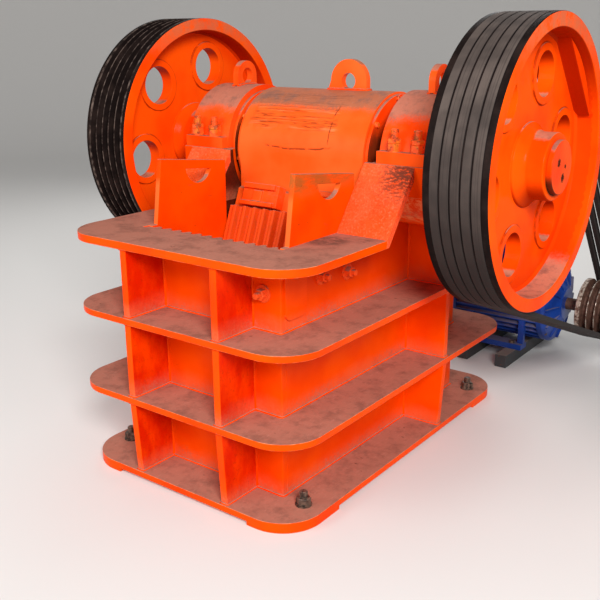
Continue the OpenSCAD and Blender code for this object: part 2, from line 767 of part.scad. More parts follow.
// Plates bolted on the ends of the shaft hold the wheels
module hub_end_plates() {
  color(paint) on_shaft(shaft_y, shaft_z) for (x = [-hub_out_x - end_plate_t, hub_out_x])
    translate([0, 0, x]) cylinder(r = nose_r - 24, h = end_plate_t);
}

module belt_section(r) {
  inner = belt_w / 2 - belt_h * tan(groove_half_a);
  polygon([[r - belt_h, -inner], [r, -belt_w / 2], [r, belt_w / 2], [r - belt_h, inner]]);
}

// One closed belt around the drive wheel and the motor sheave
module belt_loop() {
  r1 = wheel_r + belt_stand;
  r2 = sheave_r + belt_stand;
  wrap = acos((r1 - r2) / drive_len);
  rotate(wrap) rotate_extrude(angle = 360 - 2 * wrap) belt_section(r1);
  translate([drive_len, 0, 0]) rotate(-wrap) rotate_extrude(angle = 2 * wrap) belt_section(r2);
  for (m = [0, 1]) mirror([0, m, 0]) rotate(wrap) rotate([90, 0, 0])
    linear_extrude(drive_len * sin(wrap)) belt_section(r1);
}
module v_belts() {
  color(belt_black) translate([0, shaft_y, shaft_z]) rotate([drive_a, 0, 0]) rotate([90, 0, 90])
    for (x = groove_x) translate([0, 0, x]) belt_loop();
}

// Motor: finned body on feet, fan cowl, ribbed end bell, terminal box and sheave
motor_fins = 36;
module motor_body() {
  color(motor_blue) {
    on_shaft(motor_y, motor_z) translate([0, 0, motor_x]) linear_extrude(motor_l) union() {
      circle(motor_r - 22);
      for (k = [0 : motor_fins - 1]) rotate(k * 360 / motor_fins) translate([motor_r - 30, -3]) square([30, 6]);
    }
    for (sy = [-1, 1]) translate([motor_x + 60, motor_y + sy * motor_foot_y - motor_foot_w / 2, rail_h])
      cube([motor_l - 120, motor_foot_w, motor_foot_h]);
    translate([motor_x + 160, motor_y - term_l / 2 + 20, motor_z]) cube([term_l - 20, term_l - 40, box_seat_h]);
    for (sy = [-1, 1], x = [motor_x + 60, motor_x + motor_l - 90])
      translate([x, motor_y + sy * motor_foot_y - 12, rail_h + motor_foot_h - cut]) cube([30, 24, 125]);
  }
}

module motor_end_bell() {
  color(motor_blue) on_shaft(motor_y, motor_z) translate([0, 0, motor_x + motor_l]) difference() {
    union() {
      rotate_extrude() polygon([
        [0, 0], [motor_r, 0], [motor_r, 26], [motor_r - 12, 40],
        [motor_bell_r, motor_bell_l - 23], [motor_boss_r, motor_bell_l], [0, motor_bell_l]
      ]);
      for (k = [0 : 11]) rotate(k * 30) rotate([90, 0, 0]) translate([0, 0, -4]) linear_extrude(8) polygon([
        [motor_boss_r - 20, 20], [motor_r - 14, 20], [motor_r - 14, 52],
        [motor_bell_r - 20, motor_bell_l - 5], [motor_boss_r - 20, motor_bell_l - 5]
      ]);
    }
    translate([0, 0, -cut]) cylinder(r = motor_shaft_r + run_gap, h = motor_bell_l + 2 * cut);
  }
}

module motor_fan_cowl() {
  color(motor_blue) on_shaft(motor_y, motor_z) translate([0, 0, motor_x - motor_cowl_l]) rotate_extrude() polygon([
    [0, 0], [motor_r - 30, 0], [motor_r - 8, 14], [motor_r, 34], [motor_r, motor_cowl_l], [0, motor_cowl_l]
  ]);
}

module motor_terminal_box() {
  color(motor_blue) translate([motor_x + 150, motor_y - term_l / 2 + 10, motor_z + box_seat_h])
    cube([term_l, term_l - 20, term_l / 2]);
}

module motor_slide_rails() {
  color(steel) for (x = [motor_x + 85, motor_x + motor_l - 145])
    translate([x, motor_y - rail_l / 2, 0]) cube([rail_w, rail_l, rail_h]);
}

module motor_sheave() {
  color(steel) on_shaft(motor_y, motor_z) {
    rotate_extrude() polygon(concat(
      [[0, wheel_x + 2], [sheave_r - 3, wheel_x + 2], [sheave_r, wheel_x + 5]],
      [for (i = [0 : belts - 1]) each let (g = groove_points(groove_x[i], sheave_r)) [g[3], g[2], g[1], g[0]]],
      [[sheave_r, wheel_x + rim_w - 5], [sheave_r - 3, wheel_x + rim_w - 2], [0, wheel_x + rim_w - 2]]
    ));
    translate([0, 0, motor_x + motor_l + 5]) cylinder(r = motor_shaft_r, h = wheel_x - motor_x - motor_l);
  }
}

base_flange();
lower_flange();
upper_flange();
top_flange();
front_wall();
rear_wall();
left_side_wall();
right_side_wall();
front_ribs();
rear_ribs();
left_side_ribs();
right_side_ribs();
slope_plate_left();
slope_plate_right();
rear_slope_plates();
bearing_seat_left();
bearing_seat_right();
bearing_cap_left();
bearing_cap_right();
main_bearings();
bearing_covers();
cheek_plate_left();
cheek_plate_right();
fixed_jaw_plate();
toggle_beam();
toggle_block();
adjusting_wedges();
toggle_plate();
tension_rod();
tension_spring();
pitman();
pitman_end_covers();
moving_jaw_plate();
jaw_clamps();
eccentric_shaft();
flywheel_left();
drive_wheel_right();
hub_end_plates();
v_belts();
motor_body();
motor_fan_cowl();
motor_end_bell();
motor_terminal_box();
motor_slide_rails();
motor_sheave();
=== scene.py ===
"""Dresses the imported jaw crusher: bevelled plates and castings, welds, fastenings, finishes and studio."""

import json
import logging
import random
from dataclasses import dataclass, field
from enum import Enum
from math import cos, pi, radians, sin, sqrt, tau
from typing import Any, Iterable, Sequence

import bmesh
import bpy
from bmesh.types import BMesh, BMVert
from bpy.types import Material, Mesh, Node, NodeSocket, NodeTree, Object
from mathutils import Matrix, Vector

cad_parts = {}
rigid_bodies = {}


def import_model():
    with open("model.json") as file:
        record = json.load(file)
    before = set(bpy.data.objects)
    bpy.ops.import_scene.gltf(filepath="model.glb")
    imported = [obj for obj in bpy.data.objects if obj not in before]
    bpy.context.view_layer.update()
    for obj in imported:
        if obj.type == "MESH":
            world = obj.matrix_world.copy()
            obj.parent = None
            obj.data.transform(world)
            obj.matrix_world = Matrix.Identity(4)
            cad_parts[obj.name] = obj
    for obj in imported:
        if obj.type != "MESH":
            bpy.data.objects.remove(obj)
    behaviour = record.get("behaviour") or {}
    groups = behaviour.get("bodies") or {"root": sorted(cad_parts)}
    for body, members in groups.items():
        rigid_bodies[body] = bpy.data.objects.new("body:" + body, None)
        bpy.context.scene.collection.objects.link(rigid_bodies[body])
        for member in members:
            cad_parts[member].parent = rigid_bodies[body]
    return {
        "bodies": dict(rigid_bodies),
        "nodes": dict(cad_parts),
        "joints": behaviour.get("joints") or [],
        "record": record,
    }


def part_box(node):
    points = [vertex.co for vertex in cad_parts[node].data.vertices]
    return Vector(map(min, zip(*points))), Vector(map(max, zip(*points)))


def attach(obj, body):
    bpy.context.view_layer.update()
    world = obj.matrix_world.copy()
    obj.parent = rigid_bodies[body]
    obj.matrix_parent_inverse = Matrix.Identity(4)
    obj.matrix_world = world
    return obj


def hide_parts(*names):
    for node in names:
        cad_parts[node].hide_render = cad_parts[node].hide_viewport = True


LOG = logging.getLogger("crusher")
MM = 0.001
SIDES = (-1, 1)
UP = Vector((0, 0, 1))
SHAFT_AT = (0, 0.175, 1.16)
Spots = tuple[tuple[float, ...], ...]


class Body(Enum):
    """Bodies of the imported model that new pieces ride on."""

    FRAME = "frame"
    JAW = "swing_jaw"


class Slot(Enum):
    """The record's finishes."""

    ORANGE = "orange_paint"
    STEEL = "machined_steel"
    BLUE = "blue_paint"


# Small helpers


def hex_colour(code: str) -> tuple[float, float, float, float]:
    """Turns an sRGB hex colour, as in "#F4470C", into linear red, green, blue and alpha."""
    levels = [int(code[i : i + 2], 16) / 255 for i in (1, 3, 5)]
    return (*[v / 12.92 if v <= 0.04045 else ((v + 0.055) / 1.055) ** 2.4 for v in levels], 1.0)


def add_node(tree: NodeTree, kind: str, inputs: dict | None = None, **settings: Any) -> Node:
    """Adds one node with its settings, and fills its inputs.

    Args:
        tree: The node tree that gets the node.
        kind: The node's type name.
        inputs: Numbers, sockets or signals by input name or place; the last two are linked.
        settings: Properties of the node.

    Returns:
        The node.
    """
    node = tree.nodes.new(kind)
    for name, value in settings.items():
        setattr(node, name, value)
    for name, value in (inputs or {}).items():
        value = getattr(value, "socket", value)
        if isinstance(value, NodeSocket):
            tree.links.new(value, node.inputs[name])
        else:
            node.inputs[name].default_value = value
    return node


def bevel(shape: BMesh, edges: Iterable[Any], width: float, steps: int) -> dict:
    """Rounds edges, or chamfers them in one step.

    Args:
        shape: The bmesh.
        edges: Its edges.
        width: Radius in metres.
        steps: Segments of the rounding.

    Returns:
        What the operator made.
    """
    return bmesh.ops.bevel(
        shape, geom=list(edges), offset=width, offset_type="OFFSET", segments=steps, profile=0.5,
        affect="EDGES", clamp_overlap=True, material=-1,
    )


def full_spin(shape: BMesh, geometry: Sequence[Any], steps: int) -> None:
    """Turns geometry all the way round Z, and closes the seam.

    Args:
        shape: The bmesh.
        geometry: What is turned.
        steps: Segments of the turn.
    """
    bmesh.ops.spin(
        shape, geom=geometry, cent=(0, 0, 0), axis=(0, 0, 1), angle=tau, steps=steps, use_merge=True,
    )
    bmesh.ops.remove_doubles(shape, verts=shape.verts, dist=1e-5)


def make_object(name: str, shape: BMesh | Mesh, finish: Material) -> Object:
    """Makes a shape a smooth object of one material, at the origin.

    Args:
        name: The object's name.
        shape: The mesh, or the bmesh, which is freed.
        finish: Its material.

    Returns:
        The object.
    """
    mesh = shape
    if isinstance(shape, BMesh):
        mesh = bpy.data.meshes.new(name)
        shape.to_mesh(mesh)
        shape.free()
    mesh.materials.clear()
    mesh.materials.append(finish)
    mesh.polygons.foreach_set("use_smooth", [True] * len(mesh.polygons))
    made = bpy.data.objects.new(name, mesh)
    bpy.context.scene.collection.objects.link(made)
    return made


def bolt_circle(centre: Vector, radius: float, count: int, first: float) -> list[Vector]:
    """Spaces points evenly on a circle round an axis along X, with angles from +Y towards +Z."""
    turns = [first + tau * k / count for k in range(count)]
    return [centre + Vector((0, cos(turn), sin(turn))) * radius for turn in turns]


# How a finish is built


@dataclass(frozen=True, eq=False)
class Signal:
    """An output of a node, such as a value that varies over the surface; Python's operators add math nodes."""

    tree: NodeTree
    socket: NodeSocket

    @classmethod
    def of(cls, tree: NodeTree, kind: str, inputs: dict, output: int | str = 0, **settings: Any) -> "Signal":
        """Adds a node and gives one of its outputs, by name or place."""
        return cls(tree, add_node(tree, kind, inputs, **settings).outputs[output])

    def math(self, operation: str, *others: Any) -> "Signal":
        """Adds a math node whose first operand is this value."""
        return Signal.of(self.tree, "ShaderNodeMath", dict(enumerate((self, *others))), operation=operation)

    def ramp(self, start: float, end: float, top: float = 1.0) -> "Signal":
        """Gives a soft step from 0 at start to top at end, where end may be the lower one."""
        span = {"Value": self, "From Min": start, "From Max": end, "To Min": 0.0, "To Max": top}
        return Signal.of(self.tree, "ShaderNodeMapRange", span, interpolation_type="SMOOTHSTEP")

    def __abs__(self) -> "Signal":
        """Drops the sign."""
        return self.math("ABSOLUTE")

    def __add__(self, other: Any) -> "Signal":
        """Adds a value."""
        return self.math("ADD", other)

    def __sub__(self, other: Any) -> "Signal":
        """Takes a value away."""
        return self.math("SUBTRACT", other)

    def __rsub__(self, other: float) -> "Signal":
        """Takes this value away from a number."""
        return self.math("MULTIPLY_ADD", -1.0, other)

    def __mul__(self, other: Any) -> "Signal":
        """Multiplies by a value."""
        return self.math("MULTIPLY", other)

    def __mod__(self, other: float) -> "Signal":
        """Gives the rest of a division, as Python counts it."""
        return self.math("FLOORED_MODULO", other)

    def __lt__(self, other: float) -> "Signal":
        """Gives 1 where this value is lower, else 0."""
        return self.math("LESS_THAN", other)

    def __gt__(self, other: float) -> "Signal":
        """Gives 1 where this value is higher, else 0."""
        return self.math("GREATER_THAN", other)


@dataclass
class Coat:
    """A surface while its finish is built: its colour, its roughness, and its relief in millimetres."""

    tree: NodeTree
    colour: Any
    rough: Any
    shelf_pitch: float
    relief: Any = 0.0

    def __post_init__(self) -> None:
        """Reads the surface point, in metres, and how far the surface faces up and to either side."""
        place = add_node(self.tree, "ShaderNodeTexCoord").outputs
        self.at = place["Object"]
        self.x, self.y, self.z = self.split(self.at)
        across, _, self.up = self.split(place["Normal"])
        self.side = abs(across)

    def split(self, vector: NodeSocket) -> list[Signal]:
        """Gives a vector's three parts."""
        parts = add_node(self.tree, "ShaderNodeSeparateXYZ", {0: vector}).outputs
        return [Signal(self.tree, part) for part in parts]

    def noise(
        self, size_mm: float, detail: float = 3.0, rough: float = 0.55, stretch: Sequence[float] = (1, 1, 1)
    ) -> Signal:
        """Adds a noise whose grains have a real size.

        Args:
            size_mm: Size of one grain.
            detail: Octaves of finer noise.
            rough: Share of the finer octaves.
            stretch: How many times longer a grain is along X, Y and Z.

        Returns:
            The noise's value, from 0 to 1.
        """
        at = self.at
        if tuple(stretch) != (1, 1, 1):
            at = Signal.of(self.tree, "ShaderNodeMapping", {"Vector": at, "Scale": [1 / s for s in stretch]})
        values = {"Vector": at, "Scale": 1 / (size_mm * MM), "Detail": detail, "Roughness": rough}
        return Signal.of(self.tree, "ShaderNodeTexNoise", values)

    def distance(self, point: Sequence[float], counted: Sequence[float] = (1, 1, 1)) -> Signal:
        """Gives the distance from a point; a 0 in counted makes it the distance from an axis."""
        kept = Signal.of(self.tree, "ShaderNodeVectorMath", {0: self.at, 1: counted}, operation="MULTIPLY")
        return Signal.of(self.tree, "ShaderNodeVectorMath", {0: kept, 1: point}, "Value", operation="DISTANCE")

    def radius(self, centre: Sequence[float] = SHAFT_AT) -> Signal:
        """Gives the distance from an axis along X, by default the shaft's."""
        return self.distance(centre, (0, 1, 1))

    def blend(self, share: Signal, under: Any, over: Any) -> Signal:
        """Mixes two colours, signals or hex codes, by the share of the upper one."""
        low, high = (hex_colour(c) if isinstance(c, str) else c for c in (under, over))
        return Signal.of(self.tree, "ShaderNodeMix", {0: share, 6: low, 7: high}, 2, data_type="RGBA")

    def lay(self, share: Signal, colour: Any, rough: Any, relief: float = 0.0) -> None:
        """Lays a second finish over the surface.

        Args:
            share: How much of it shows.
            colour: Its colour, a signal or a hex code.
            rough: Its roughness, a signal or a number.
            relief: Its height in millimetres.
        """
        self.colour = self.blend(share, self.colour, colour)
        self.rough = Signal.of(self.tree, "ShaderNodeMix", {0: share, 2: self.rough, 3: rough})
        if relief:
            self.relief = share * relief + self.relief


@dataclass(frozen=True)
class Surface:
    """A finish whose colour, roughness and relief are built from patterns of real size."""

    colour: str
    roughness: float
    metallic: float = 0.0
    specular: float = 0.5

    def pattern(self, coat: Coat) -> None:
        """Lays the finish's pattern; each finish has its own."""

    def make(self, shelf_pitch: float) -> Material:
        """Builds the material.

        Args:
            shelf_pitch: Distance between the flanges' top faces, for the dust at the walls' feet.

        Returns:
            The Blender material.
        """
        material = bpy.data.materials.new(type(self).__name__)
        material.use_nodes = True
        tree = material.node_tree
        tree.nodes.clear()
        coat = Coat(tree, self.colour, self.roughness, shelf_pitch)
        self.pattern(coat)
        values = {
            "Base Color": coat.colour,
            "Roughness": coat.rough,
            "Metallic": self.metallic,
            "Specular IOR Level": self.specular,
        }
        if isinstance(coat.relief, Signal):
            bump = {"Height": coat.relief, "Distance": MM, "Strength": 1.0}
            values["Normal"] = Signal.of(tree, "ShaderNodeBump", bump)
        shader = Signal.of(tree, "ShaderNodeBsdfPrincipled", values)
        add_node(tree, "ShaderNodeOutputMaterial", {"Surface": shader})
        return material


# Finishes


@dataclass(frozen=True)
class MachineEnamel(Surface):
    """Alkyd enamel sprayed thick on steel: saturated and glossy with a faint orange peel.

    Stone dust settles on whatever faces up and takes the gloss away.
    """

    colour: str = "#FC4E00"
    thin: str = "#F23E00"
    dust: str = "#A87664"
    old_dust: str = "#866254"
    fresh_dust: str = "#C49080"
    grime: str = "#42241A"
    roughness: float = 0.3
    specular: float = 0.05
    dust_level: float = 0.02
    flat_from: float = 0.45
    flat_to: float = 0.92
    peel_mm: float = 11.0
    cast_mm: float = 0.0
    shelved: bool = False
    shelf_start: float = 0.04

    def pattern(self, coat: Coat) -> None:
        """Lays the coat's colour drift, its peel, the marks of its piece, the dust and the grime.

        Args:
            coat: The surface.
        """
        coat.colour = coat.blend(coat.noise(240).ramp(0.35, 0.7), coat.colour, self.thin)
        coat.relief = coat.noise(self.peel_mm, 1) * 0.16
        if self.cast_mm:
            coat.relief += coat.noise(self.cast_mm, 4, 0.6) * 0.7
        if self.shelved:
            self.cut_lines(coat)
        self.marks(coat)
        self.settle(coat)

    def marks(self, coat: Coat) -> None:
        """Lays the marks of one kind of piece; a plain piece has none."""

    def cut_lines(self, coat: Coat) -> None:
        """Lays the drag lines and waves that the cutting torch leaves on plate edges, and paler arrises that
        are partly rubbed paint and partly a painted highlight.

        Args:
            coat: The surface.
        """
        tilt = abs(coat.up)
        coat.relief += tilt.ramp(0.6, 0.2) * (coat.noise(7, 2, 0.5, (1, 1, 9)) * 0.35 + coat.noise(60, 2) * 0.9)
        # Only the rounded arrises are tilted; they get a paler orange that is partly rubbed paint and partly a
        # painted highlight along the edge
        arris = tilt.ramp(0.15, 0.35) * tilt.ramp(0.95, 0.8)
        coat.lay(arris * coat.noise(30, 4, 0.65).ramp(0.4, 0.62, 0.75), "#FFA266", 0.4)

    def settle(self, coat: Coat) -> None:
        """Settles stone dust on what faces up and along the foot of the walls.

        Args:
            coat: The surface.
        """
        patch, fine = coat.noise(150, 4, 0.65), coat.noise(9, 3, 0.6)
        flat = coat.up.ramp(self.flat_from, self.flat_to)
        level = patch * 0.7 + flat + fine * 0.45 + (self.dust_level - 0.6)
        if self.shelved:
            height = (coat.z - self.shelf_start) % coat.shelf_pitch
            level += height.ramp(0.08, 0.0) * 0.24
            film = (patch * 0.09 + height).ramp(0.12, 0.03)
            coat.lay(film * (fine * 0.7 + 0.1), "#E27450", 0.6)
        tone = coat.blend(coat.noise(70, 4, 0.7).ramp(0.42, 0.72), self.dust, self.old_dust)
        # Trodden dust lies in fine slanting strokes
        tone = coat.blend(coat.noise(7, 4, 0.7, (1, 4, 1)).ramp(0.52, 0.75, 0.35), tone, self.fresh_dust)
        coat.lay(level.ramp(0.12, 0.62, 0.93), tone, 0.88, 0.35)
        speck = coat.noise(17, 2, 0.7, (2.5, 1, 1)).ramp(0.71, 0.76)
        coat.lay(speck * (flat * 0.65 + 0.12), self.grime, 0.8, 0.5)


@dataclass(frozen=True)
class PitmanEnamel(MachineEnamel):
    """The same enamel over a filled and rubbed patch on the pitman's head: rough level streaks."""

    colour: str = "#FC6626"
    thin: str = "#F95512"
    dust: str = "#B06A4C"
    dust_level: float = 0.06
    flat_from: float = 0.62
    flat_to: float = 0.97
    cast_mm: float = 30.0
    axis_y: float = 0.166
    axis_z: float = 1.152
    patch_x: float = -0.05
    patch_half: float = 0.28
    foot_x: float = -0.03
    foot_angle: float = 0.118
    flank_x: float = 0.135

    def marks(self, coat: Coat) -> None:
        """Lays the streaked patch on the upper front of the head.

        Args:
            coat: The surface.
        """
        angle = (coat.z - self.axis_z).math("ARCTAN2", self.axis_y - coat.y)
        sway = coat.noise(90, 2) * 0.3 + angle - 0.15
        span = coat.noise(60) * 0.1 + abs(coat.x - self.patch_x)
        patch = sway.ramp(0.38, 0.5) * sway.ramp(1.2, 1.12) * span.ramp(self.patch_half, self.patch_half - 0.04)
        streak = coat.noise(15, 3, 0.6, (20, 1, 1))
        coat.relief += patch * streak * 6.0
        # A thin line follows each place where the streaks change over
        line = abs(streak - 0.5).ramp(0.03, 0.008)
        coat.lay(line * patch * 0.75, "#8E3214", 0.5, -0.8)
        coat.lay(coat.noise(15, 2, 0.5, (11, 1, 1)).ramp(0.56, 0.72) * patch * 0.5, "#EE8E5C", 0.6)
        self.outline(coat, angle)

    def outline(self, coat: Coat, angle: Signal) -> None:
        """Lays the broken dark lines that close the patch below and on its right.

        Args:
            coat: The surface.
            angle: Angle round the head, from the horizontal.
        """
        jitter = coat.noise(45) * 0.05 - 0.025
        offset = coat.x - self.foot_x
        below = abs(angle - (offset * offset * 2.15 + self.foot_angle) + jitter)
        foot = below.ramp(0.018, 0.006) * abs(coat.x).ramp(0.17, 0.14)
        beside = abs(jitter * 0.4 + (coat.x - self.flank_x))
        flank = beside.ramp(0.004, 0.001) * angle.ramp(0.15, 0.3) * angle.ramp(1.1, 0.95)
        broken = coat.noise(38, 3, 0.6).ramp(0.36, 0.5, 0.8)
        coat.lay(foot.math("MAXIMUM", flank) * broken, "#7C2B12", 0.5, -0.8)


@dataclass(frozen=True)
class SlopeEnamel(MachineEnamel):
    """The same enamel, scraped off the upper slope by lifting chains, down to dark mill scale."""

    colour: str = "#F8541C"
    thin: str = "#F04C1A"
    dust_level: float = 0.0
    flat_from: float = 0.55
    flat_to: float = 0.95
    scale_x: float = 0.36
    scale_z: float = 0.99

    def marks(self, coat: Coat) -> None:
        """Lays the pebbled coat, with a painted highlight on its grains and painted shade in its pits, and the
        scraped patch towards the top outer corner.

        Args:
            coat: The surface.
        """
        wear = coat.z.ramp(self.scale_z, self.scale_z + 0.14) * coat.x.ramp(self.scale_x, self.scale_x + 0.11)
        grain = coat.noise(8, 4, 0.65)
        coat.lay(coat.noise(110).ramp(0.3, 0.7, 0.4), "#F47048", 0.5)
        # The grain's peaks get a painted highlight and its pits painted shade, following the relief laid below
        coat.lay(grain.ramp(0.5, 0.72, 0.42), "#FF8E66", 0.4)
        coat.lay(grain.ramp(0.48, 0.3, 0.5), "#C43C18", 0.5)
        bare = (wear * 0.16 + coat.noise(8, 4, 0.65, (2, 1, 1))).ramp(0.5, 0.7)
        coat.lay(bare * wear * 0.85, "#52342A", 0.5, -0.6)
        coat.relief += grain * 3.6


@dataclass(frozen=True)
class CheekEnamel(MachineEnamel):
    """The same enamel on the cheek plates, rubbed by stone: scratched, with dark smears near the top."""

    dust_level: float = -0.02
    smear_z: float = 1.1

    def marks(self, coat: Coat) -> None:
        """Lays a painted highlight on the edges and faces that do not look along X, the smears round the
        window, fine scratches and chips.

        Args:
            coat: The surface.
        """
        high = coat.z.ramp(self.smear_z - 0.03, self.smear_z + 0.03)
        # Painted highlight on the faces that do not look along X, below the smears
        coat.lay(coat.side.ramp(0.7, 0.3) * (0.6 - high), "#F47A38", 0.4)
        cloud = coat.noise(26, 4, 0.6, (1, 3, 1)).ramp(0.22, 0.62)
        coat.lay(cloud * high * coat.x.ramp(0.0, 0.1, 0.8), "#9C5A26", 0.6)
        coat.lay(coat.noise(5, 2, 0.6, (1, 16, 3)).ramp(0.66, 0.72, 0.35), "#C0431C", 0.5)
        coat.lay(coat.noise(13, 2, 0.6).ramp(0.72, 0.75, 0.8), "#54291A", 0.7, -0.3)


@dataclass(frozen=True)
class WheelEnamel(MachineEnamel):
    """The same enamel on the cast wheels, whose grooved rims are left black and greasy from turning."""

    colour: str = "#FE5606"
    thin: str = "#FA4402"
    dust: str = "#C68268"
    dust_level: float = -0.08
    flat_from: float = 0.7
    flat_to: float = 0.99
    roughness: float = 0.18
    specular: float = 0.015
    cast_mm: float = 26.0
    rim_x: float = 0.811
    rim_half: float = 0.1115
    rim_r: float = 0.52
    crests_half: float = 0.1
    groove_floor: float = 0.486
    hub_x: float = 0.928
    hub_r: float = 0.13
    plate_r: float = 0.096
    holes: int = 6
    hole_circle_r: float = 0.325
    seam_r: float = 0.109
    recess_r: float = 0.467
    balance_a: float = radians(47.5)
    balance_r: float = 0.422
    balance_x: float = 0.836

    def marks(self, coat: Coat) -> None:
        """Lays a darker ring round the foot of the end plate below the axis, a few flecks, the recess, and
        painted shade on the undersides.

        Args:
            coat: The surface.
        """
        reach = coat.radius()
        hub = abs(coat.x).ramp(self.hub_x, self.hub_x + 0.008) * (reach < self.hub_r)
        # A darker ring round the foot of the end plate, below the axis only
        seam = hub * reach.ramp(self.plate_r + 0.012, self.plate_r)
        coat.lay(seam * coat.z.ramp(1.16, 1.1), "#3A1D10", 0.55)
        coat.lay(coat.noise(21, 2, 0.6).ramp(0.76, 0.79, 0.85), "#5A1E0C", 0.6, -0.2)
        self.recess(coat, reach)
        # Painted shade: the undersides of rim and bosses turn a darker red
        coat.lay(coat.up.ramp(-0.15, -0.8, 0.82), "#8E1600", 0.4)

    def recess(self, coat: Coat, reach: Signal) -> None:
        """Lays painted shade deep in the dish, round the rings of the holes and on the counterweight's flat
        side, and dust on the rim's end faces.

        Args:
            coat: The surface.
            reach: Distance from the shaft's axis.
        """
        inside = reach < self.recess_r
        # Painted shade deepens the dish towards the rim
        coat.lay(reach.ramp(0.37, 0.455, 0.5) * inside, "#E63404", 0.3)
        # The angle is folded onto one hole, so that one ring serves all six
        back, rise = coat.y - SHAFT_AT[1], coat.z - SHAFT_AT[2]
        turn = back.math("ARCTAN2", rise) - self.balance_a
        fold = turn % (tau / self.holes) - pi / self.holes
        out = reach * fold.math("COSINE") - self.hole_circle_r
        across = reach * fold.math("SINE")
        away = (out * out + across * across).math("SQRT")
        # Painted shade, broken by noise, lines the foot of each hole's ring
        seam = abs(away - self.seam_r).ramp(0.006, 0.001) * inside
        coat.lay(seam * coat.noise(60, 3, 0.6).ramp(0.34, 0.6, 0.75), "#962A0A", 0.45)
        # The counterweight's flat side lies in the shade of the rim
        along = back * sin(self.balance_a) + rise * cos(self.balance_a)
        chord = (abs(along - self.balance_r) < 0.004) * (abs(coat.x) > self.balance_x)
        coat.lay(chord * inside * 0.36, "#D21600", 0.35)
        # Dust clings to the top of the rim's end faces
        crown = coat.side.ramp(0.8, 0.95) * (1 - inside) * rise.ramp(0.32, 0.5)
        coat.lay(crown * coat.noise(50, 4, 0.65).ramp(0.3, 0.6, 0.6), "#B9704F", 0.6)

    def settle(self, coat: Coat) -> None:
        """Settles the dust, then lays the rim, which turning belts keep clean, and a painted highlight on the
        crests of the wheel without belts.

        Args:
            coat: The surface.
        """
        super().settle(coat)
        reach = coat.radius()
        # The groove flanks face sideways, and only the rim's two end faces keep their orange
        away = abs(abs(coat.x) - self.rim_x)
        rim = (away < self.rim_half).math("MAXIMUM", coat.side < 0.8) * (reach > self.groove_floor)
        worn = coat.blend(coat.noise(90, 3, 0.6).ramp(0.4, 0.75), "#181211", "#2A201D")
        belted = coat.x > 0.0
        coat.lay(rim, worn, belted * 0.2 + 0.25)
        # Only the wheel without belts shows the crests between its grooves, which get a painted highlight
        crest_highlight = reach.ramp(self.rim_r - 0.003, self.rim_r - 0.0005) * (away < self.crests_half)
        coat.lay(crest_highlight * (1 - belted) * coat.noise(25).ramp(0.35, 0.8, 0.7), "#857268", 0.3)


@dataclass(frozen=True)
class HubEnamel(MachineEnamel):
    """The same enamel on the shaft's end plates: darker on the lower half of their sides, and chips where keys
    were driven.
    """

    colour: str = "#FC5A14"
    dust_level: float = -0.1
    cast_mm: float = 20.0
    side_r: float = 0.0925
    face_x: float = 0.958
    chips: Spots = ((0.147, 1.18, 0.015), (0.19, 1.122, 0.016), (0.21, 1.16, 0.008))

    def marks(self, coat: Coat) -> None:
        """Lays the dark side and the chips near the middle.

        Args:
            coat: The surface.
        """
        side = coat.radius().ramp(self.side_r, self.side_r + MM)
        coat.lay(side * coat.z.ramp(1.16, 1.11, 0.9), "#34190E", 0.5)
        ragged = coat.noise(9, 3, 0.7) * 0.03 - 0.015
        for y, z, size in self.chips:
            away = coat.distance((self.face_x, y, z)) + ragged
            coat.lay(away.ramp(size, size * 0.7), "#4A2010", 0.65, -0.8)


@dataclass(frozen=True)
class JawEnamel(MachineEnamel):
    """The same enamel over the raw skin of cast manganese steel: uneven, with grey where stone rubs."""

    colour: str = "#EE4A10"
    thin: str = "#E0420E"
    dust_level: float = -0.02
    flat_from: float = 0.6
    cast_mm: float = 14.0

    def marks(self, coat: Coat) -> None:
        """Lays a painted highlight on the crests, painted shade on the flanks, the runs and the rubbed spots.

        Args:
            coat: The surface.
        """
        # The crests get a painted highlight and the flanks painted shade
        coat.lay(coat.side.ramp(0.5, 0.1, 0.6), "#FA5E22", 0.35)
        coat.lay(coat.side.ramp(0.45, 0.8, 0.5), "#C43E0E", 0.45)
        coat.lay(coat.noise(16, 3, 0.6, (1, 1, 6)).ramp(0.55, 0.78, 0.4), "#9E3C18", 0.55)
        coat.lay(coat.noise(22, 4, 0.7).ramp(0.66, 0.72, 0.5), "#7D6258", 0.6, -0.3)


@dataclass(frozen=True)
class WallEnamel(MachineEnamel):
    """The same enamel on the side walls, whose inner faces are painted near black as shade."""

    shelved: bool = True
    inner_x: float = 0.327

    def marks(self, coat: Coat) -> None:
        """Lays painted shade on the inner faces, and on the outside of the top bay behind the wheels.

        Args:
            coat: The surface.
        """
        # The inner faces are painted near black, mottled, as painted shade
        inner = abs(coat.x) < self.inner_x
        tone = coat.blend(coat.noise(60, 4, 0.7).ramp(0.4, 0.7), "#1C0D09", "#3A1C12")
        coat.lay(inner * 0.92, tone, 0.6)
        # Behind the wheels the top bay gets painted shade, a redder coat
        behind = coat.z.ramp(0.66, 0.84) * coat.y.ramp(-0.6, -0.25, 0.6)
        coat.lay(behind * (1 - inner), "#C42000", 0.4)


@dataclass(frozen=True)
class RibEnamel(MachineEnamel):
    """The same enamel on the end ribs, whose flanks get painted shade: redder and mottled."""

    shelved: bool = True

    def marks(self, coat: Coat) -> None:
        """Lays the painted shade and dark specks on the flanks.

        Args:
            coat: The surface.
        """
        flank = coat.side.ramp(0.6, 0.9)
        mottle = coat.noise(80, 4, 0.65, (1, 1, 2)).ramp(0.3, 0.62)
        # Painted shade: the flanks turn redder, mottled by noise
        coat.lay(flank * (mottle * 0.45 + 0.5), "#CC1A00", 0.38)
        coat.lay(flank * coat.noise(13, 3, 0.6).ramp(0.56, 0.72, 0.3), "#8E2408", 0.5)


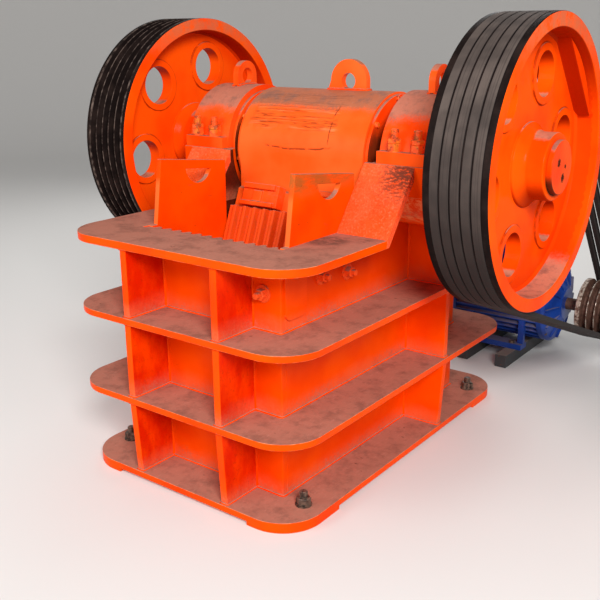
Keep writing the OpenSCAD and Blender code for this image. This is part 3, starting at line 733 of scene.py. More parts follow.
@dataclass(frozen=True)
class FlangeEnamel(MachineEnamel):
    """The same enamel on the top flange, with dark spills in the dust where stone was fed."""

    shelved: bool = True
    spills: Spots = ((0.375, -0.4, 0.93, 0.1), (0.47, -0.33, 0.93, 0.06))

    def settle(self, coat: Coat) -> None:
        """Settles the dust, then lays the spills on it.

        Args:
            coat: The surface.
        """
        super().settle(coat)
        cloud = coat.noise(34, 4, 0.7, (2, 1, 1)).ramp(0.4, 0.6, 0.75)
        for *spot, reach in self.spills:
            coat.lay(coat.distance(spot).ramp(reach, reach - 0.06) * cloud, "#5E463C", 0.8)


@dataclass(frozen=True)
class CoverEnamel(MachineEnamel):
    """The same enamel on the end covers, darker on the lower part of the faces that look along X."""

    colour: str = "#FC5A18"
    cast_mm: float = 24.0
    dark_from_z: float = 1.27

    def marks(self, coat: Coat) -> None:
        """Darkens the lower part of the faces that look along X."""
        low = (coat.noise(60) * 0.12 + coat.z).ramp(self.dark_from_z + 0.1, self.dark_from_z, 0.85)
        coat.lay(coat.side.ramp(0.7, 0.95) * low, "#44200F", 0.5)


@dataclass(frozen=True)
class BoltEnamel(MachineEnamel):
    """The same enamel over bolts: chipped by spanners, with grease in the threads."""

    colour: str = "#F8602A"
    dust_level: float = -0.05

    def marks(self, coat: Coat) -> None:
        """Lays the grease and the chips."""
        coat.lay(coat.noise(22, 4, 0.7).ramp(0.5, 0.66, 0.6), "#8A2A10", 0.5)
        coat.lay(coat.noise(7, 3, 0.6).ramp(0.7, 0.76, 0.6), "#E9A888", 0.4)


@dataclass(frozen=True)
class CastingEnamel(MachineEnamel):
    """The same enamel over sand castings, whose grain shows through it and holds more dust."""

    colour: str = "#FC5A18"
    dust: str = "#B9745E"
    dust_level: float = 0.12
    flat_from: float = 0.5
    flat_to: float = 0.95
    cast_mm: float = 24.0


@dataclass(frozen=True)
class WeldEnamel(MachineEnamel):
    """The same enamel over weld beads: rippled, thick, and nearly free of dust."""

    dust_level: float = -0.24
    roughness: float = 0.26
    cast_mm: float = 6.0


@dataclass(frozen=True)
class BeltCloth(Surface):
    """Cloth-covered rubber belt: woven, matt, grey-brown with dust on its back, near black on its sides."""

    colour: str = "#2B2422"
    roughness: float = 0.82
    specular: float = 0.3

    def pattern(self, coat: Coat) -> None:
        """Lays the dusty back, its lengthwise rub lines and the weave, drawn coarse enough to show, and painted
        shade that darkens the back towards the bottom.

        Args:
            coat: The surface.
        """
        tone = coat.blend(coat.noise(170, 3, 0.6).ramp(0.35, 0.68), "#3F3632", "#594D47")
        tone = coat.blend(coat.noise(4.5, 3, 0.6, (1, 900, 900)).ramp(0.5, 0.72, 0.6), tone, "#2A2220")
        # Painted shade: the back darkens towards the bottom
        tone = coat.blend(coat.z.ramp(1.35, 0.85, 0.9), tone, "#1F1715")
        coat.lay(coat.side.ramp(0.5, 0.2), tone, 0.86)
        coat.relief = coat.noise(4, 2) * 0.25


@dataclass(frozen=True)
class SheaveIron(Surface):
    """Grey cast iron, turned and left bare: brown with settled rust, bright where belts polish it."""

    colour: str = "#6A4A3D"
    roughness: float = 0.62
    metallic: float = 0.35
    centre: tuple[float, float, float] = (0, 1.39, 0.29)
    ridge_r: float = 0.1425

    def pattern(self, coat: Coat) -> None:
        """Lays the rust patches and the polished ridges.

        Args:
            coat: The surface.
        """
        coat.lay(coat.noise(26, 4, 0.7).ramp(0.4, 0.68), "#4A2F25", 0.7)
        ridge = coat.radius(self.centre).ramp(self.ridge_r, self.ridge_r + 0.002)
        coat.lay(ridge * coat.noise(18).ramp(0.4, 0.62), "#B9AA9C", 0.35)
        coat.relief = coat.noise(9) * 0.3


@dataclass(frozen=True)
class TurnedSteel(Surface):
    """Turned and oiled carbon steel: grey, softly brushed round its axis, with oil-brown clouds."""

    colour: str = "#9A958D"
    roughness: float = 0.34
    metallic: float = 1.0

    def pattern(self, coat: Coat) -> None:
        """Lays tool marks across the axis and the oil clouds."""
        coat.relief = coat.noise(3.5, 2, 0.5, (1, 20, 20)) * 0.08
        coat.lay(coat.noise(45).ramp(0.5, 0.75, 0.6), "#5E4A3A", 0.5)


@dataclass(frozen=True)
class CastManganese(Surface):
    """Raw manganese steel casting: dark grey, pebbled, with brown dust in its hollows."""

    colour: str = "#5A544F"
    roughness: float = 0.6
    metallic: float = 0.7

    def pattern(self, coat: Coat) -> None:
        """Lays the pebbled skin and the dust.

        Args:
            coat: The surface.
        """
        skin = coat.noise(9, 4, 0.6)
        coat.relief = skin * 0.6
        coat.lay(skin.ramp(0.5, 0.3, 0.7), "#6E5040", 0.85)


@dataclass(frozen=True)
class YellowZinc(Surface):
    """Zinc-plated and yellow-passivated fastener, half covered by overspray: warm yellow to orange."""

    colour: str = "#E4741C"
    roughness: float = 0.42
    metallic: float = 0.2

    def pattern(self, coat: Coat) -> None:
        """Lays the overspray and the dirt."""
        coat.lay(coat.noise(24).ramp(0.38, 0.52), "#FA5A18", 0.35)
        coat.lay(coat.noise(20).ramp(0.5, 0.64, 0.7), "#7A3416", 0.7)


@dataclass(frozen=True)
class BlackSteel(Surface):
    """Black-oxide steel fastener: dark, oily sheen on its edges, dust in its corners."""

    colour: str = "#4A423D"
    roughness: float = 0.38
    metallic: float = 0.7

    def pattern(self, coat: Coat) -> None:
        """Lays the dust and the bright rubs."""
        coat.lay(coat.noise(14).ramp(0.36, 0.6, 0.8), "#8C7262", 0.75)
        coat.lay(coat.noise(6, 2).ramp(0.68, 0.74, 0.6), "#A29C94", 0.3)


@dataclass(frozen=True)
class MotorEnamel(Surface):
    """Blue enamel sprayed on an iron motor: satin, with dust lying on the fins."""

    colour: str = "#173F93"
    roughness: float = 0.36
    specular: float = 0.4

    def pattern(self, coat: Coat) -> None:
        """Lays the casting's grain, darker drift and the dust.

        Args:
            coat: The surface.
        """
        coat.lay(coat.noise(130).ramp(0.4, 0.7), "#102F78", 0.4)
        coat.relief = coat.noise(9) * 0.35
        level = coat.noise(40, 4, 0.7) * 0.9 + coat.up.ramp(0.4, 1.0)
        coat.lay(level.ramp(0.85, 1.35, 0.62), "#7B6F69", 0.85)


@dataclass(frozen=True)
class RailPrimer(Surface):
    """Dark grey primer brushed on rolled channel: matt, scuffed, dusty on top."""

    colour: str = "#3A3B3D"
    roughness: float = 0.66

    def pattern(self, coat: Coat) -> None:
        """Lays rust specks, the dust and the brush's grain.

        Args:
            coat: The surface.
        """
        coat.lay(coat.noise(12).ramp(0.64, 0.7), "#6A3A22", 0.8)
        level = coat.noise(60, 4, 0.7) * 0.8 + coat.up.ramp(0.4, 1.0)
        coat.lay(level.ramp(0.9, 1.4, 0.8), "#8B7A70", 0.9)
        coat.relief = coat.noise(8) * 0.3


class Finish(Enum):
    """Every finish of the machine."""

    PLATE = MachineEnamel(shelved=True)
    FLANGE = FlangeEnamel()
    RIB = RibEnamel()
    WALL = WallEnamel()
    PITMAN = PitmanEnamel()
    SLOPE = SlopeEnamel()
    CHEEK = CheekEnamel()
    CASTING = CastingEnamel()
    WELD = WeldEnamel()
    BOLT = BoltEnamel()
    COVER = CoverEnamel()
    WHEEL = WheelEnamel()
    HUB = HubEnamel()
    JAW = JawEnamel()
    BELT = BeltCloth()
    SHEAVE = SheaveIron()
    TURNED = TurnedSteel()
    MANGANESE = CastManganese()
    ZINC = YellowZinc()
    BLACK = BlackSteel()
    MOTOR = MotorEnamel()
    RAIL = RailPrimer()


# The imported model, and copies of its solids with worked edges


@dataclass
class PackedModel:
    """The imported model, with what the record says about each node, and the materials made so far."""

    frame: dict
    made: dict[Finish, Material] = field(default_factory=dict)

    def material(self, finish: Finish) -> Material:
        """Gives a finish's material, which its first use makes.

        Args:
            finish: The finish.

        Returns:
            The material.
        """
        if finish not in self.made:
            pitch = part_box("upper_flange")[1].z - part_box("lower_flange")[1].z
            self.made[finish] = finish.value.make(pitch)
        return self.made[finish]

    def body(self, node: str) -> str:
        """Gives the body that a node rides on."""
        bodies = self.frame["record"]["behaviour"]["bodies"]
        return next(name for name, members in bodies.items() if node in members)

    def slot(self, node: str) -> str:
        """Gives the record's finish of a node."""
        return next(p["material_slot"] for p in self.frame["record"]["subparts"] if p["node"] == node)

    def axis(self, joint: str) -> Vector:
        """Gives a point on a joint's axis."""
        return Vector(next(j["pos_m"] for j in self.frame["joints"] if j["name"] == joint))

    def repaint(self, finish: Finish, *nodes: str) -> None:
        """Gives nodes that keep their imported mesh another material.

        Args:
            finish: The new finish.
            nodes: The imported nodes.
        """
        for node in nodes:
            for place in self.frame["nodes"][node].material_slots:
                place.link = "DATA"
                place.material = self.material(finish)

    def refine(self, finish: Finish, arris: float, *nodes: str, steps: int = 2) -> None:
        """Replaces nodes by copies whose sharp edges are rounded.

        Args:
            finish: The copies' finish.
            arris: Radius of the rounded edges, in millimetres.
            nodes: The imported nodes.
            steps: Segments of the rounding.
        """
        for node in nodes:
            shape = bmesh.new()
            shape.from_mesh(self.frame["nodes"][node].data)
            bmesh.ops.remove_doubles(shape, verts=shape.verts, dist=1e-5)
            bmesh.ops.dissolve_limit(shape, angle_limit=radians(1), verts=shape.verts, edges=shape.edges)
            sharp = [e for e in shape.edges if e.is_manifold and e.calc_face_angle() > radians(27)]
            bevel(shape, sharp, arris * MM, steps)
            piece = make_object(f"{node}_worked", shape, self.material(finish))
            colours = piece.data.color_attributes
            for name in [colour.name for colour in colours]:
                colours.remove(colours[name])
            piece.modifiers.new("face_weighted", "WEIGHTED_NORMAL").weight = 60
            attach(piece, self.body(node))
            self.slot(node)
            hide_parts(node)
            LOG.info("%s: %d faces", piece.name, len(piece.data.polygons))

    def add(
        self, name: str, shape: BMesh | Mesh, finish: Finish, body: Body = Body.FRAME,
        slot: Slot = Slot.ORANGE, smooth: float = 35.0,
    ) -> None:
        """Adds a new piece that rides on a body.

        Args:
            name: The piece's name.
            shape: The mesh, or the bmesh, which is freed.
            finish: Its finish.
            body: The body that it rides on.
            slot: The record's finish; not used.
            smooth: Angle in degrees above which an edge stays sharp.
        """
        if isinstance(shape, BMesh):
            bmesh.ops.recalc_face_normals(shape, faces=shape.faces)
        piece = make_object(name, shape, self.material(finish))
        piece.data.set_sharp_from_angle(angle=radians(smooth))
        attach(piece, body.value)
        LOG.info("%s: %d faces on %s", name, len(piece.data.polygons), body.value)


# Welds and fastenings


@dataclass
class WeldBeads:
    """Fillet welds laid by hand: a bead with ripples, whose size and line waver a little."""

    model: PackedModel
    size: float = 7.0
    step: float = 7.0
    waver: float = 0.16
    drift: float = 0.07
    seed: int = 5

    def run(self, name: str, seams: Iterable[Sequence[Vector]], body: Body = Body.FRAME) -> None:
        """Lays beads along seams.

        Args:
            name: The piece's name.
            seams: Corner points of each seam.
            body: The body that the beads ride on.
        """
        chance = random.Random(self.seed)
        curve = bpy.data.curves.new(name, "CURVE")
        curve.dimensions = "3D"
        curve.bevel_depth = self.size * MM
        curve.bevel_resolution = 1
        curve.use_fill_caps = True
        for seam in seams:
            stops = self.stops(seam)
            spline = curve.splines.new("POLY")
            spline.points.add(len(stops) - 1)
            for place, stop in zip(spline.points, stops):
                drift = Vector([chance.uniform(-1, 1) for _ in range(3)]) * self.size * self.drift * MM
                place.co = (*(stop + drift), 1.0)
                place.radius = 1.0 + chance.uniform(-self.waver, self.waver)
        holder = bpy.data.objects.new(f"{name}_line", curve)
        bpy.context.scene.collection.objects.link(holder)
        solid = holder.evaluated_get(bpy.context.evaluated_depsgraph_get())
        mesh = bpy.data.meshes.new_from_object(solid)
        bpy.data.objects.remove(holder)
        self.model.add(name, mesh, Finish.WELD, body, smooth=80)

    def stops(self, seam: Sequence[Vector]) -> list[Vector]:
        """Divides a seam into steps of one ripple each.

        Args:
            seam: The seam's corner points.

        Returns:
            The points of the bead's line.
        """
        found = [seam[0]]
        for start, end in zip(seam, seam[1:]):
            count = max(1, round((end - start).length / (self.step * MM)))
            found += [start.lerp(end, k / count) for k in range(1, count + 1)]
        return found


@dataclass(frozen=True)
class BoltSize:
    """Sizes of a hexagon bolt and its nut and washer, in millimetres."""

    thread: float
    across: float
    head: float
    nut: float
    washer: float
    washer_t: float


class Thread(Enum):
    """Bolts on the machine; LINER and CAP are an M24 and an M30 with washers of their own."""

    M10 = BoltSize(10, 16, 6.4, 8.4, 20, 2)
    M12 = BoltSize(12, 18, 7.5, 10.8, 24, 2.5)
    M16 = BoltSize(16, 24, 10, 14.8, 30, 3)
    LINER = BoltSize(24, 36, 15, 21.5, 62, 6)
    CAP = BoltSize(30, 46, 18.7, 25.6, 50, 5)
    M30 = BoltSize(30, 46, 18.7, 25.6, 60, 5)


@dataclass
class Fastenings:
    """Collects bolts, nuts, studs and washers into one piece; every height is in millimetres above the face."""

    name: str
    seed: int
    sunk: float = 1.0
    disc_sides: int = 28
    thread_sides: int = 16
    thread_pitch: float = 3.0
    thread_core: float = 0.86
    lock_nut: float = 0.6

    def __post_init__(self) -> None:
        """Starts an empty shape and a fixed chance."""
        self.shape = bmesh.new()
        self.chance = random.Random(self.seed)

    def drum(self, at: Matrix, low: float, high: float, width: float, sides: int, chamfer: float = 0.0) -> None:
        """Adds a prism or disc.

        Args:
            at: Frame on the face.
            low: Where it starts.
            high: Where it ends.
            width: Its diameter across corners.
            sides: Number of its sides.
            chamfer: Chamfer of its outer rim.
        """
        made = bmesh.ops.create_cone(
            self.shape, cap_ends=True, segments=sides, radius1=width / 2 * MM, radius2=width / 2 * MM,
            depth=(high - low) * MM, matrix=at @ Matrix.Translation((0, 0, (low + high) / 2 * MM)),
        )
        if chamfer:
            caps = [f for f in {f for v in made["verts"] for f in v.link_faces} if len(f.verts) == sides]
            top = max(caps, key=lambda f: (at.inverted() @ f.calc_center_median()).z)
            bevel(self.shape, top.edges, chamfer * MM, 1)

    def hexagon(self, at: Matrix, low: float, tall: float, size: BoltSize) -> None:
        """Adds a head or nut with a chamfered top."""
        self.drum(at, low, low + tall, size.across / cos(pi / 6), 6, size.across * 0.07)

    def washer(self, point: Vector, out: Vector, size: BoltSize) -> Matrix:
        """Lays a washer on a face.

        Args:
            point: The fastening's place on the face.
            out: Direction out of the face.
            size: Sizes of its thread.

        Returns:
            A frame on the face, turned by chance, whose Z points out.
        """
        turn = Matrix.Rotation(self.chance.uniform(0, pi), 4, "Z")
        at = Matrix.Translation(point) @ out.to_track_quat("Z", "Y").to_matrix().to_4x4() @ turn
        self.drum(at, -self.sunk, size.washer_t, size.washer, self.disc_sides)
        return at

    def bolt(self, point: Vector, out: Vector, thread: Thread) -> None:
        """Adds a hexagon head on its washer."""
        size = thread.value
        self.hexagon(self.washer(point, out, size), size.washer_t, size.head, size)

    def bolt_pairs(self, spots: Iterable[Vector], face: float, thread: Thread) -> None:
        """Adds a bolt for each spot on the two faces that look along -X and +X.

        Args:
            spots: Where the bolts stand, in Y and Z.
            face: How far the two faces are from the middle, in metres.
            thread: The bolts' thread.
        """
        for spot in spots:
            for side in SIDES:
                self.bolt(Vector((side * face, spot.y, spot.z)), Vector((side, 0, 0)), thread)

    def stud(self, point: Vector, out: Vector, thread: Thread, nuts: int, end: float) -> None:
        """Adds a stud with its washer and nuts.

        Args:
            point: Its place on the face.
            out: Direction out of the face.
            thread: Its thread.
            nuts: Number of nuts; the first is a full one, and the others are lock nuts.
            end: Length of thread above the last nut.
        """
        size, pitch = thread.value, self.thread_pitch
        at = self.washer(point, out, size)
        height = size.washer_t
        for k in range(nuts):
            tall = size.nut * (self.lock_nut if k else 1)
            turned = at @ Matrix.Rotation(self.chance.uniform(0, 1), 4, "Z")
            self.hexagon(turned, height, tall, size)
            height += tall + 0.3
        core = size.thread * self.thread_core
        for k in range(max(1, round(end / pitch))):
            base = height + pitch * k
            self.drum(at, base - 1, base + 1.6, size.thread, self.thread_sides)
            self.drum(at, base + 1.6, base + 2, core, self.thread_sides)
        self.drum(at, height, height + end + 1, core, self.thread_sides, 1.5)

    def finish(
        self, model: PackedModel, finish: Finish, body: Body = Body.FRAME, slot: Slot = Slot.ORANGE
    ) -> None:
        """Makes the collected shape a piece."""
        model.add(self.name, self.shape, finish, body, slot, 30)


# Sub-assemblies


@dataclass
class FrameBox:
    """The welded box: walls, flanges, ribs, slope plates and seats, with their welds and bolts."""

    model: PackedModel
    arris: float = 2.5
    rib_t: float = 0.03
    rib_spacing: float = 0.42
    rib_inset: float = 0.01
    anchor: tuple[float, float] = (0.435, 0.635)
    liner_side: Spots = ((-0.411, 0.803), (-0.247, 0.784))
    liner_front: Spots = ((0.272, 0.781), (-0.272, 0.781))
    pad_at: tuple[float, float] = (-0.56, 0.775)
    pad_size: tuple[float, float] = (0.12, 0.17)
    pad_t: float = 0.008
    pad_corner: float = 0.03

    def build(self) -> None:
        """Builds the box's pieces."""
        refine = self.model.refine
        refine(Finish.WALL, self.arris, "left_side_wall", "right_side_wall")
        refine(
            Finish.PLATE, self.arris, "base_flange", "lower_flange", "upper_flange", "front_wall", "rear_wall",
            "left_side_ribs", "right_side_ribs", "rear_slope_plates", "toggle_beam", "bearing_seat_left",
            "bearing_seat_right",
        )
        refine(Finish.SLOPE, self.arris, "slope_plate_left", "slope_plate_right")
        refine(Finish.RIB, self.arris, "front_ribs", "rear_ribs")
        refine(Finish.FLANGE, self.arris, "top_flange")
        self.weld()
        self.fasten()
        self.pads()

    def weld(self) -> None:
        """Lays the fillet welds between walls, flanges and ribs."""
        near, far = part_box("front_wall")
        x, y = far.x, -near.y
        names = [f"{name}_flange" for name in ("base", "lower", "upper", "top")]
        # Each flange's lower face, upper face and reach beyond the box
        floors = [(low.z, high.z, high.x - x) for low, high in map(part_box, names)]
        corners = [(-x, -y), (x, -y), (x, y), (-x, y), (-x, -y)]
        levels = [floors[0][1], *(z for under, over, _ in floors[1:3] for z in (over, under))]
        shelves = [[Vector((px, py, z)) for px, py in corners] for z in levels]
        # Under the top flange the seam stops where the slope plates begin
        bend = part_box("slope_plate_right")[0].y
        mouth = ((-x, bend), *corners[:2], (x, bend))
        shelves.append([Vector((px, py, floors[3][0])) for px, py in mouth])
        WeldBeads(self.model, step=8).run("flange_welds", shelves)

        # Each rib has a seam round its foot, one round its head, and one up the wall on each side
        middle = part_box("right_side_ribs")[0].y + self.rib_t / 2
        roots = [((sx * self.rib_spacing / 2, sy * y), (0, sy)) for sy in SIDES for sx in SIDES]
        roots += [((sx * x, middle), (sx, 0)) for sx in SIDES]
        ribs = []
        for (_, start, low), (end, _, high) in zip(floors, floors[1:]):
            for root, way in roots:
                out = Vector((*way, 0))
                aside = Vector((-out.y, out.x, 0)) * self.rib_t / 2
                pair = [Vector((*root, 0)) + aside * side for side in SIDES]
                for height, reach in ((start, low), (end, high)):
                    near, far = (spot + UP * height for spot in pair)
                    step = out * (reach - self.rib_inset)
                    ribs.append([near, near + step, far + step, far])
                ribs += [[spot + UP * start, spot + UP * end] for spot in pair]
        WeldBeads(self.model, size=6, step=9, seed=9).run("rib_welds", ribs)

    def fasten(self) -> None:
        """Adds the anchor bolts and the liner bolts."""
        anchors = Fastenings("anchor_bolts", 3)
        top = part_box("base_flange")[1].z
        for sx in SIDES:
            for sy in SIDES:
                anchors.stud(Vector((sx * self.anchor[0], sy * self.anchor[1], top)), UP, Thread.M30, 1, 22)
        anchors.finish(self.model, Finish.BLACK, slot=Slot.STEEL)
        liners = Fastenings("liner_bolts", 8)
        low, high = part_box("front_wall")
        for y, z in self.liner_side:
            for sx in SIDES:
                liners.stud(Vector((sx * high.x, y, z)), Vector((sx, 0, 0)), Thread.LINER, 1, 14)
        for x, z in self.liner_front:
            liners.stud(Vector((x, low.y, z)), Vector((0, -1, 0)), Thread.LINER, 1, 18)
        liners.finish(self.model, Finish.BOLT)

    def pads(self) -> None:
        """Adds a stiffening pad with rounded corners at the front of each side wall, under the upper flange."""
        (y, z), (length, height) = self.pad_at, self.pad_size
        shape = bmesh.new()
        for sx in SIDES:
            made = bmesh.ops.create_grid(shape, x_segments=1, y_segments=1, size=0.5)["verts"]
            bmesh.ops.scale(shape, vec=(height, length, 1), verts=made)
            grown = bmesh.ops.extrude_face_region(shape, geom=[made[0].link_faces[0]])["geom"]
            lifted = [g for g in grown if isinstance(g, BMVert)]
            bmesh.ops.translate(shape, vec=(0, 0, self.pad_t), verts=lifted)
            block = {*made, *lifted}
            edges = {e for v in block for e in v.link_edges}
            upright = [e for e in edges if abs(e.verts[0].co.z - e.verts[1].co.z) > self.pad_t / 2]
            done = bevel(shape, upright, self.pad_corner, 5)
            block = {v for v in block if v.is_valid} | {v for f in done["faces"] for v in f.verts}
            place = Matrix.Translation((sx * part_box("front_wall")[1].x, y, z))
            turn = Matrix.Rotation(sx * pi / 2, 4, "Y")
            bmesh.ops.transform(shape, matrix=place @ turn, verts=list(block))
        self.model.add("side_wall_pads", shape, Finish.PLATE)


@dataclass
class BearingSet:
    """The split bearing caps, their covers and studs, and the bearings."""

    model: PackedModel
    foot_h: float = 0.045
    stud_x: tuple[float, float] = (0.433, 0.527)
    stud_inset: float = 0.025
    cover_ring: float = 0.155
    cover_bolts: int = 8
    cap_lip: float = 0.03
    lug_half: float = 0.062
    lug_half_t: float = 0.014

    def build(self) -> None:
        """Builds the bearings' pieces."""
        self.model.refine(Finish.CASTING, 5, "bearing_cap_left", "bearing_cap_right", steps=3)
        self.model.refine(Finish.COVER, 3, "bearing_covers")
        self.model.repaint(Finish.TURNED, "main_bearings")
        low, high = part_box("bearing_cap_right")
        studs = Fastenings("cap_studs", 4)
        for x in self.stud_x:
            for sx in SIDES:
                for y in (low.y + self.stud_inset, high.y - self.stud_inset):
                    studs.stud(Vector((sx * x, y, low.z + self.foot_h)), UP, Thread.CAP, 2, 32)
        studs.finish(self.model, Finish.ZINC)
        bolts = Fastenings("bearing_cover_bolts", 6)
        centre = self.model.axis("shaft_spin")
        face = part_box("bearing_covers")[1].x
        spots = bolt_circle(centre, self.cover_ring, self.cover_bolts, pi / self.cover_bolts)
        bolts.bolt_pairs(spots, face, Thread.M12)
        bolts.finish(self.model, Finish.CASTING)

        # The feet of the caps' lifting lugs follow the caps' curve
        radius = (high.y - low.y) / 2 - self.cap_lip
        span = [self.lug_half * (k / 6 - 1) for k in range(13)]
        arch = [Vector((0, centre.y + v, centre.z + sqrt(radius**2 - v**2))) for v in span]
        feet = [sx * (low.x + high.x) / 2 + side * self.lug_half_t for sx in SIDES for side in SIDES]
        seams = [[Vector((x, spot.y, spot.z)) for spot in arch] for x in feet]
        WeldBeads(self.model, seed=14).run("cap_lug_welds", seams)


@dataclass
class Jaws:
    """The cheek plates, jaw plates and clamps of the crushing chamber."""

    model: PackedModel

    def build(self) -> None:
        """Builds the chamber's pieces."""
        self.model.refine(Finish.CHEEK, 2.5, "cheek_plate_left", "cheek_plate_right")
        self.model.refine(Finish.JAW, 3, "fixed_jaw_plate", "moving_jaw_plate")
        self.model.refine(Finish.CASTING, 3, "jaw_clamps")


@dataclass
class Pitman:
    """The pitman with its end covers, their bolts and its lifting lug."""

    model: PackedModel
    head_r: float = 0.245
    bolt_ring: float = 0.2235
    bolts: int = 8
    first_angle: float = 143.0
    lug_x: tuple[float, float] = (-0.017, 0.165)
    lug_half_t: float = 0.014

    def build(self) -> None:
        """Builds the pitman's pieces."""
        self.model.refine(Finish.PITMAN, 4, "pitman", steps=3)
        self.model.refine(Finish.COVER, 4, "pitman_end_covers", steps=3)
        centre = self.model.axis("jaw_swing")
        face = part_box("pitman_end_covers")[1].x
        heads = Fastenings("pitman_cover_bolts", 12)
        spots = bolt_circle(centre, self.bolt_ring, self.bolts, radians(self.first_angle))
        heads.bolt_pairs(spots, face, Thread.M12)
        heads.finish(self.model, Finish.ZINC, Body.JAW)
        (left, right), thick = self.lug_x, self.lug_half_t
        top = centre.z + sqrt(self.head_r**2 - thick**2)
        foot = ((left, -thick), (right, -thick), (right, thick), (left, thick), (left, -thick))
        seam = [Vector((x, centre.y + y, top)) for x, y in foot]
        WeldBeads(self.model, size=8, seed=21).run("pitman_lug_weld", [seam], Body.JAW)


@dataclass
class WheelPair:
    """The eccentric shaft with the flywheel, the drive wheel and their end plates."""

    model: PackedModel

    def build(self) -> None:
        """Builds the wheels and the shaft."""
        self.model.refine(Finish.WHEEL, 3, "flywheel_left", "drive_wheel_right")
        self.model.refine(Finish.HUB, 3, "hub_end_plates")
        self.model.repaint(Finish.TURNED, "eccentric_shaft")


@dataclass
class ToggleGear:
    """The toggle plate, its blocks, the tension rod and its spring."""

    model: PackedModel

    def build(self) -> None:
        """Builds the linkage's pieces."""
        self.model.refine(Finish.MANGANESE, 2, "toggle_block", "adjusting_wedges", "toggle_plate")
        self.model.repaint(Finish.TURNED, "tension_rod", "tension_spring")


@dataclass
class Drive:
    """The motor on its rails, its sheave and the belts."""

    model: PackedModel
    foot_inset: float = 0.115
    foot_y: float = 0.198
    foot_t: float = 0.028
    screw_inset: float = 0.016
    bell_t: float = 0.033
    bell_ring: float = 0.19
    grille_rings: int = 5
    grille_first: float = 0.05
    grille_pitch: float = 0.028
    grille_wire: float = 0.004

    def build(self) -> None:
        """Builds the drive's pieces."""
        refine = self.model.refine
        refine(Finish.MOTOR, 3, "motor_fan_cowl", "motor_end_bell", "motor_terminal_box")
        refine(Finish.MOTOR, 1.5, "motor_body", steps=1)
        refine(Finish.RAIL, 3, "motor_slide_rails")
        refine(Finish.SHEAVE, 1.5, "motor_sheave")
        refine(Finish.BELT, 1.5, "v_belts")
        self.fasten()
        self.grille()

    def fasten(self) -> None:
        """Adds the foot bolts, the terminal box screws and the bell bolts."""
        bolts = Fastenings("motor_bolts", 17)
        low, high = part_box("motor_body")
        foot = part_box("motor_slide_rails")[1].z + self.foot_t
        centre = self.model.axis("motor_spin")
        for x in (low.x + self.foot_inset, high.x - self.foot_inset):
            for sy in SIDES:
                bolts.bolt(Vector((x, centre.y + sy * self.foot_y, foot)), UP, Thread.M16)
        near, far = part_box("motor_terminal_box")
        for x in (near.x + self.screw_inset, far.x - self.screw_inset):
            for y in (near.y + self.screw_inset, far.y - self.screw_inset):
                bolts.bolt(Vector((x, y, far.z)), UP, Thread.M10)
        for spot in bolt_circle(centre, self.bell_ring, 4, pi / 4):
            bolts.bolt(Vector((high.x + self.bell_t, spot.y, spot.z)), Vector((1, 0, 0)), Thread.M10)
        bolts.finish(self.model, Finish.BLACK, slot=Slot.STEEL)

    def grille(self) -> None:
        """Adds the rings of the fan cowl's grille on its closed end."""
        shape = bmesh.new()
        centre = self.model.axis("motor_spin")
        quarter = pi / 2
        for k in range(self.grille_rings):
            place = Matrix.Translation((self.grille_first + self.grille_pitch * k, 0, 0))
            made = bmesh.ops.create_circle(
                shape, cap_ends=True, radius=self.grille_wire, segments=6,
                matrix=place @ Matrix.Rotation(quarter, 4, "X"),
            )
            face = made["verts"][0].link_faces[0]
            full_spin(shape, [face, *face.edges, *face.verts], 48)
        place = Matrix.Translation((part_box("motor_fan_cowl")[0].x, centre.y, centre.z))
        bmesh.ops.transform(shape, matrix=place @ Matrix.Rotation(quarter, 4, "Y"), verts=shape.verts)
        self.model.add("fan_cowl_grille", shape, Finish.MOTOR, slot=Slot.BLUE)


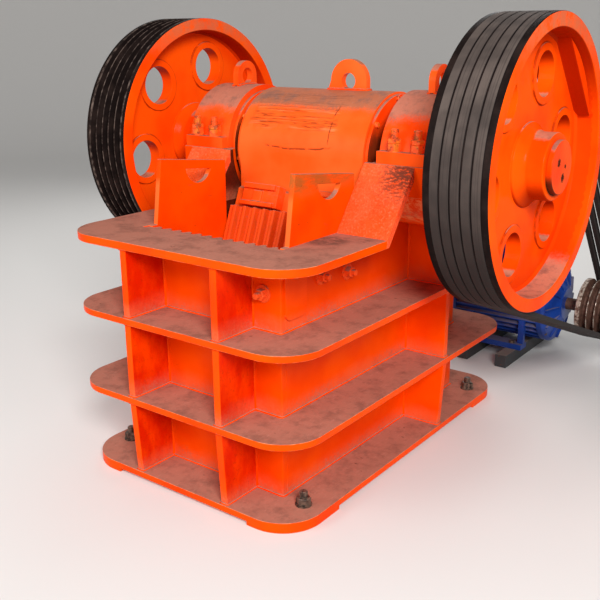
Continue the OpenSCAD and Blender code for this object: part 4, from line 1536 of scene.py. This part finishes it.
@dataclass
class Studio:
    """A pale seamless floor, soft lamps and the camera at the photograph's angle."""

    floor_colour: str = "#E4E2DF"
    floor_r: float = 9.0
    cove_r: float = 4.0
    cove_steps: int = 8
    sky: float = 0.31
    backdrop: str = "#A3A19E"
    target: tuple[float, float, float] = (0, 0.1, 0.8)
    focal_px: float = 854.5
    frame_px: float = 600.0
    sensor_mm: float = 36.0
    azimuth: float = 36.86
    elevation: float = 17.28
    roll: float = -0.0061
    stand: tuple[float, float, float] = (2.012, -2.752, 1.609)

    def build(self) -> None:
        """Builds the stage, the lamps, the world and the camera."""
        self.floor()
        self.lamp("key", Vector((4.3, -4.2, 3.9)), 2.0, 460)
        self.lamp("fill", Vector((-2.4, -5.0, 3.0)), 2.6, 110)
        self.lamp("rear", Vector((-2.5, 4.2, 3.4)), 3.0, 110)
        self.world()
        self.camera()
        bpy.context.scene.view_settings.view_transform = "Standard"

    def floor(self) -> None:
        """Makes a round floor whose rim curves up into a backdrop."""
        shape = bmesh.new()
        chain = [shape.verts.new((0, 0, 0)), shape.verts.new((self.floor_r, 0, 0))]
        for k in range(1, self.cove_steps + 1):
            angle = pi / 2 * k / self.cove_steps
            out, rise = sin(angle), 1 - cos(angle)
            chain.append(shape.verts.new((self.floor_r + self.cove_r * out, 0, self.cove_r * rise)))
        for pair in zip(chain, chain[1:]):
            shape.edges.new(pair)
        full_spin(shape, [*shape.verts, *shape.edges], 72)
        bmesh.ops.recalc_face_normals(shape, faces=shape.faces)
        paper = bpy.data.materials.new("paper_backdrop")
        paper.use_nodes = True
        shader = paper.node_tree.nodes["Principled BSDF"]
        shader.inputs["Base Color"].default_value = hex_colour(self.floor_colour)
        shader.inputs["Roughness"].default_value = 0.9
        shader.inputs["Specular IOR Level"].default_value = 0.1
        make_object("studio_floor", shape, paper)

    def lamp(self, name: str, place: Vector, size: float, power: float) -> None:
        """Adds a soft square lamp that faces the machine.

        Args:
            name: The lamp's name.
            place: Where it stands.
            size: Its width.
            power: Its power in watts.
        """
        light = bpy.data.lights.new(name, "AREA")
        light.energy = power
        light.size = size
        lamp = bpy.data.objects.new(name, light)
        bpy.context.scene.collection.objects.link(lamp)
        lamp.location = place
        lamp.rotation_euler = (Vector(self.target) - place).to_track_quat("-Z", "Y").to_euler()

    def world(self) -> None:
        """Lights the machine evenly, and shows the eye and the bright metal a pale backdrop."""
        world = bpy.data.worlds.new("studio")
        bpy.context.scene.world = world
        world.use_nodes = True
        tree = world.node_tree
        tree.nodes.clear()
        ray = add_node(tree, "ShaderNodeLightPath").outputs
        seen = Signal(tree, ray["Is Camera Ray"])
        for kind in ("Is Glossy Ray", "Is Transmission Ray"):
            seen = seen.math("MAXIMUM", ray[kind])
        lit = Signal.of(tree, "ShaderNodeBackground", {"Color": (1, 1, 1, 1), "Strength": self.sky})
        shown = Signal.of(tree, "ShaderNodeBackground", {"Color": hex_colour(self.backdrop), "Strength": 1.0})
        mixed = Signal.of(tree, "ShaderNodeMixShader", {0: seen, 1: lit, 2: shown})
        add_node(tree, "ShaderNodeOutputWorld", {"Surface": mixed})

    def camera(self) -> None:
        """Sets the camera where the photograph was taken."""
        data = bpy.data.cameras.new("photo_camera")
        data.sensor_width = self.sensor_mm
        data.lens = self.focal_px / self.frame_px * self.sensor_mm
        camera = bpy.data.objects.new("photo_camera", data)
        bpy.context.scene.collection.objects.link(camera)
        az, el = radians(self.azimuth), radians(self.elevation)
        back = Vector((sin(az) * cos(el), -cos(az) * cos(el), sin(el)))
        right = Vector((cos(az), sin(az), 0))
        right = cos(self.roll) * right + sin(self.roll) * back.cross(right)
        turn = Matrix((right, back.cross(right), back)).transposed().to_4x4()
        camera.matrix_world = Matrix.Translation(self.stand) @ turn
        bpy.context.scene.camera = camera


def main() -> None:
    """Builds the sub-assemblies in order."""
    logging.basicConfig(level=logging.INFO, format="%(name)s: %(message)s")
    model = PackedModel(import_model())
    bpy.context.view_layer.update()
    Studio().build()
    for assembly in (FrameBox, BearingSet, Jaws, Pitman, WheelPair, ToggleGear, Drive):
        assembly(model).build()
        LOG.info("%s done", assembly.__name__)


if __name__ == "__main__":
    main()
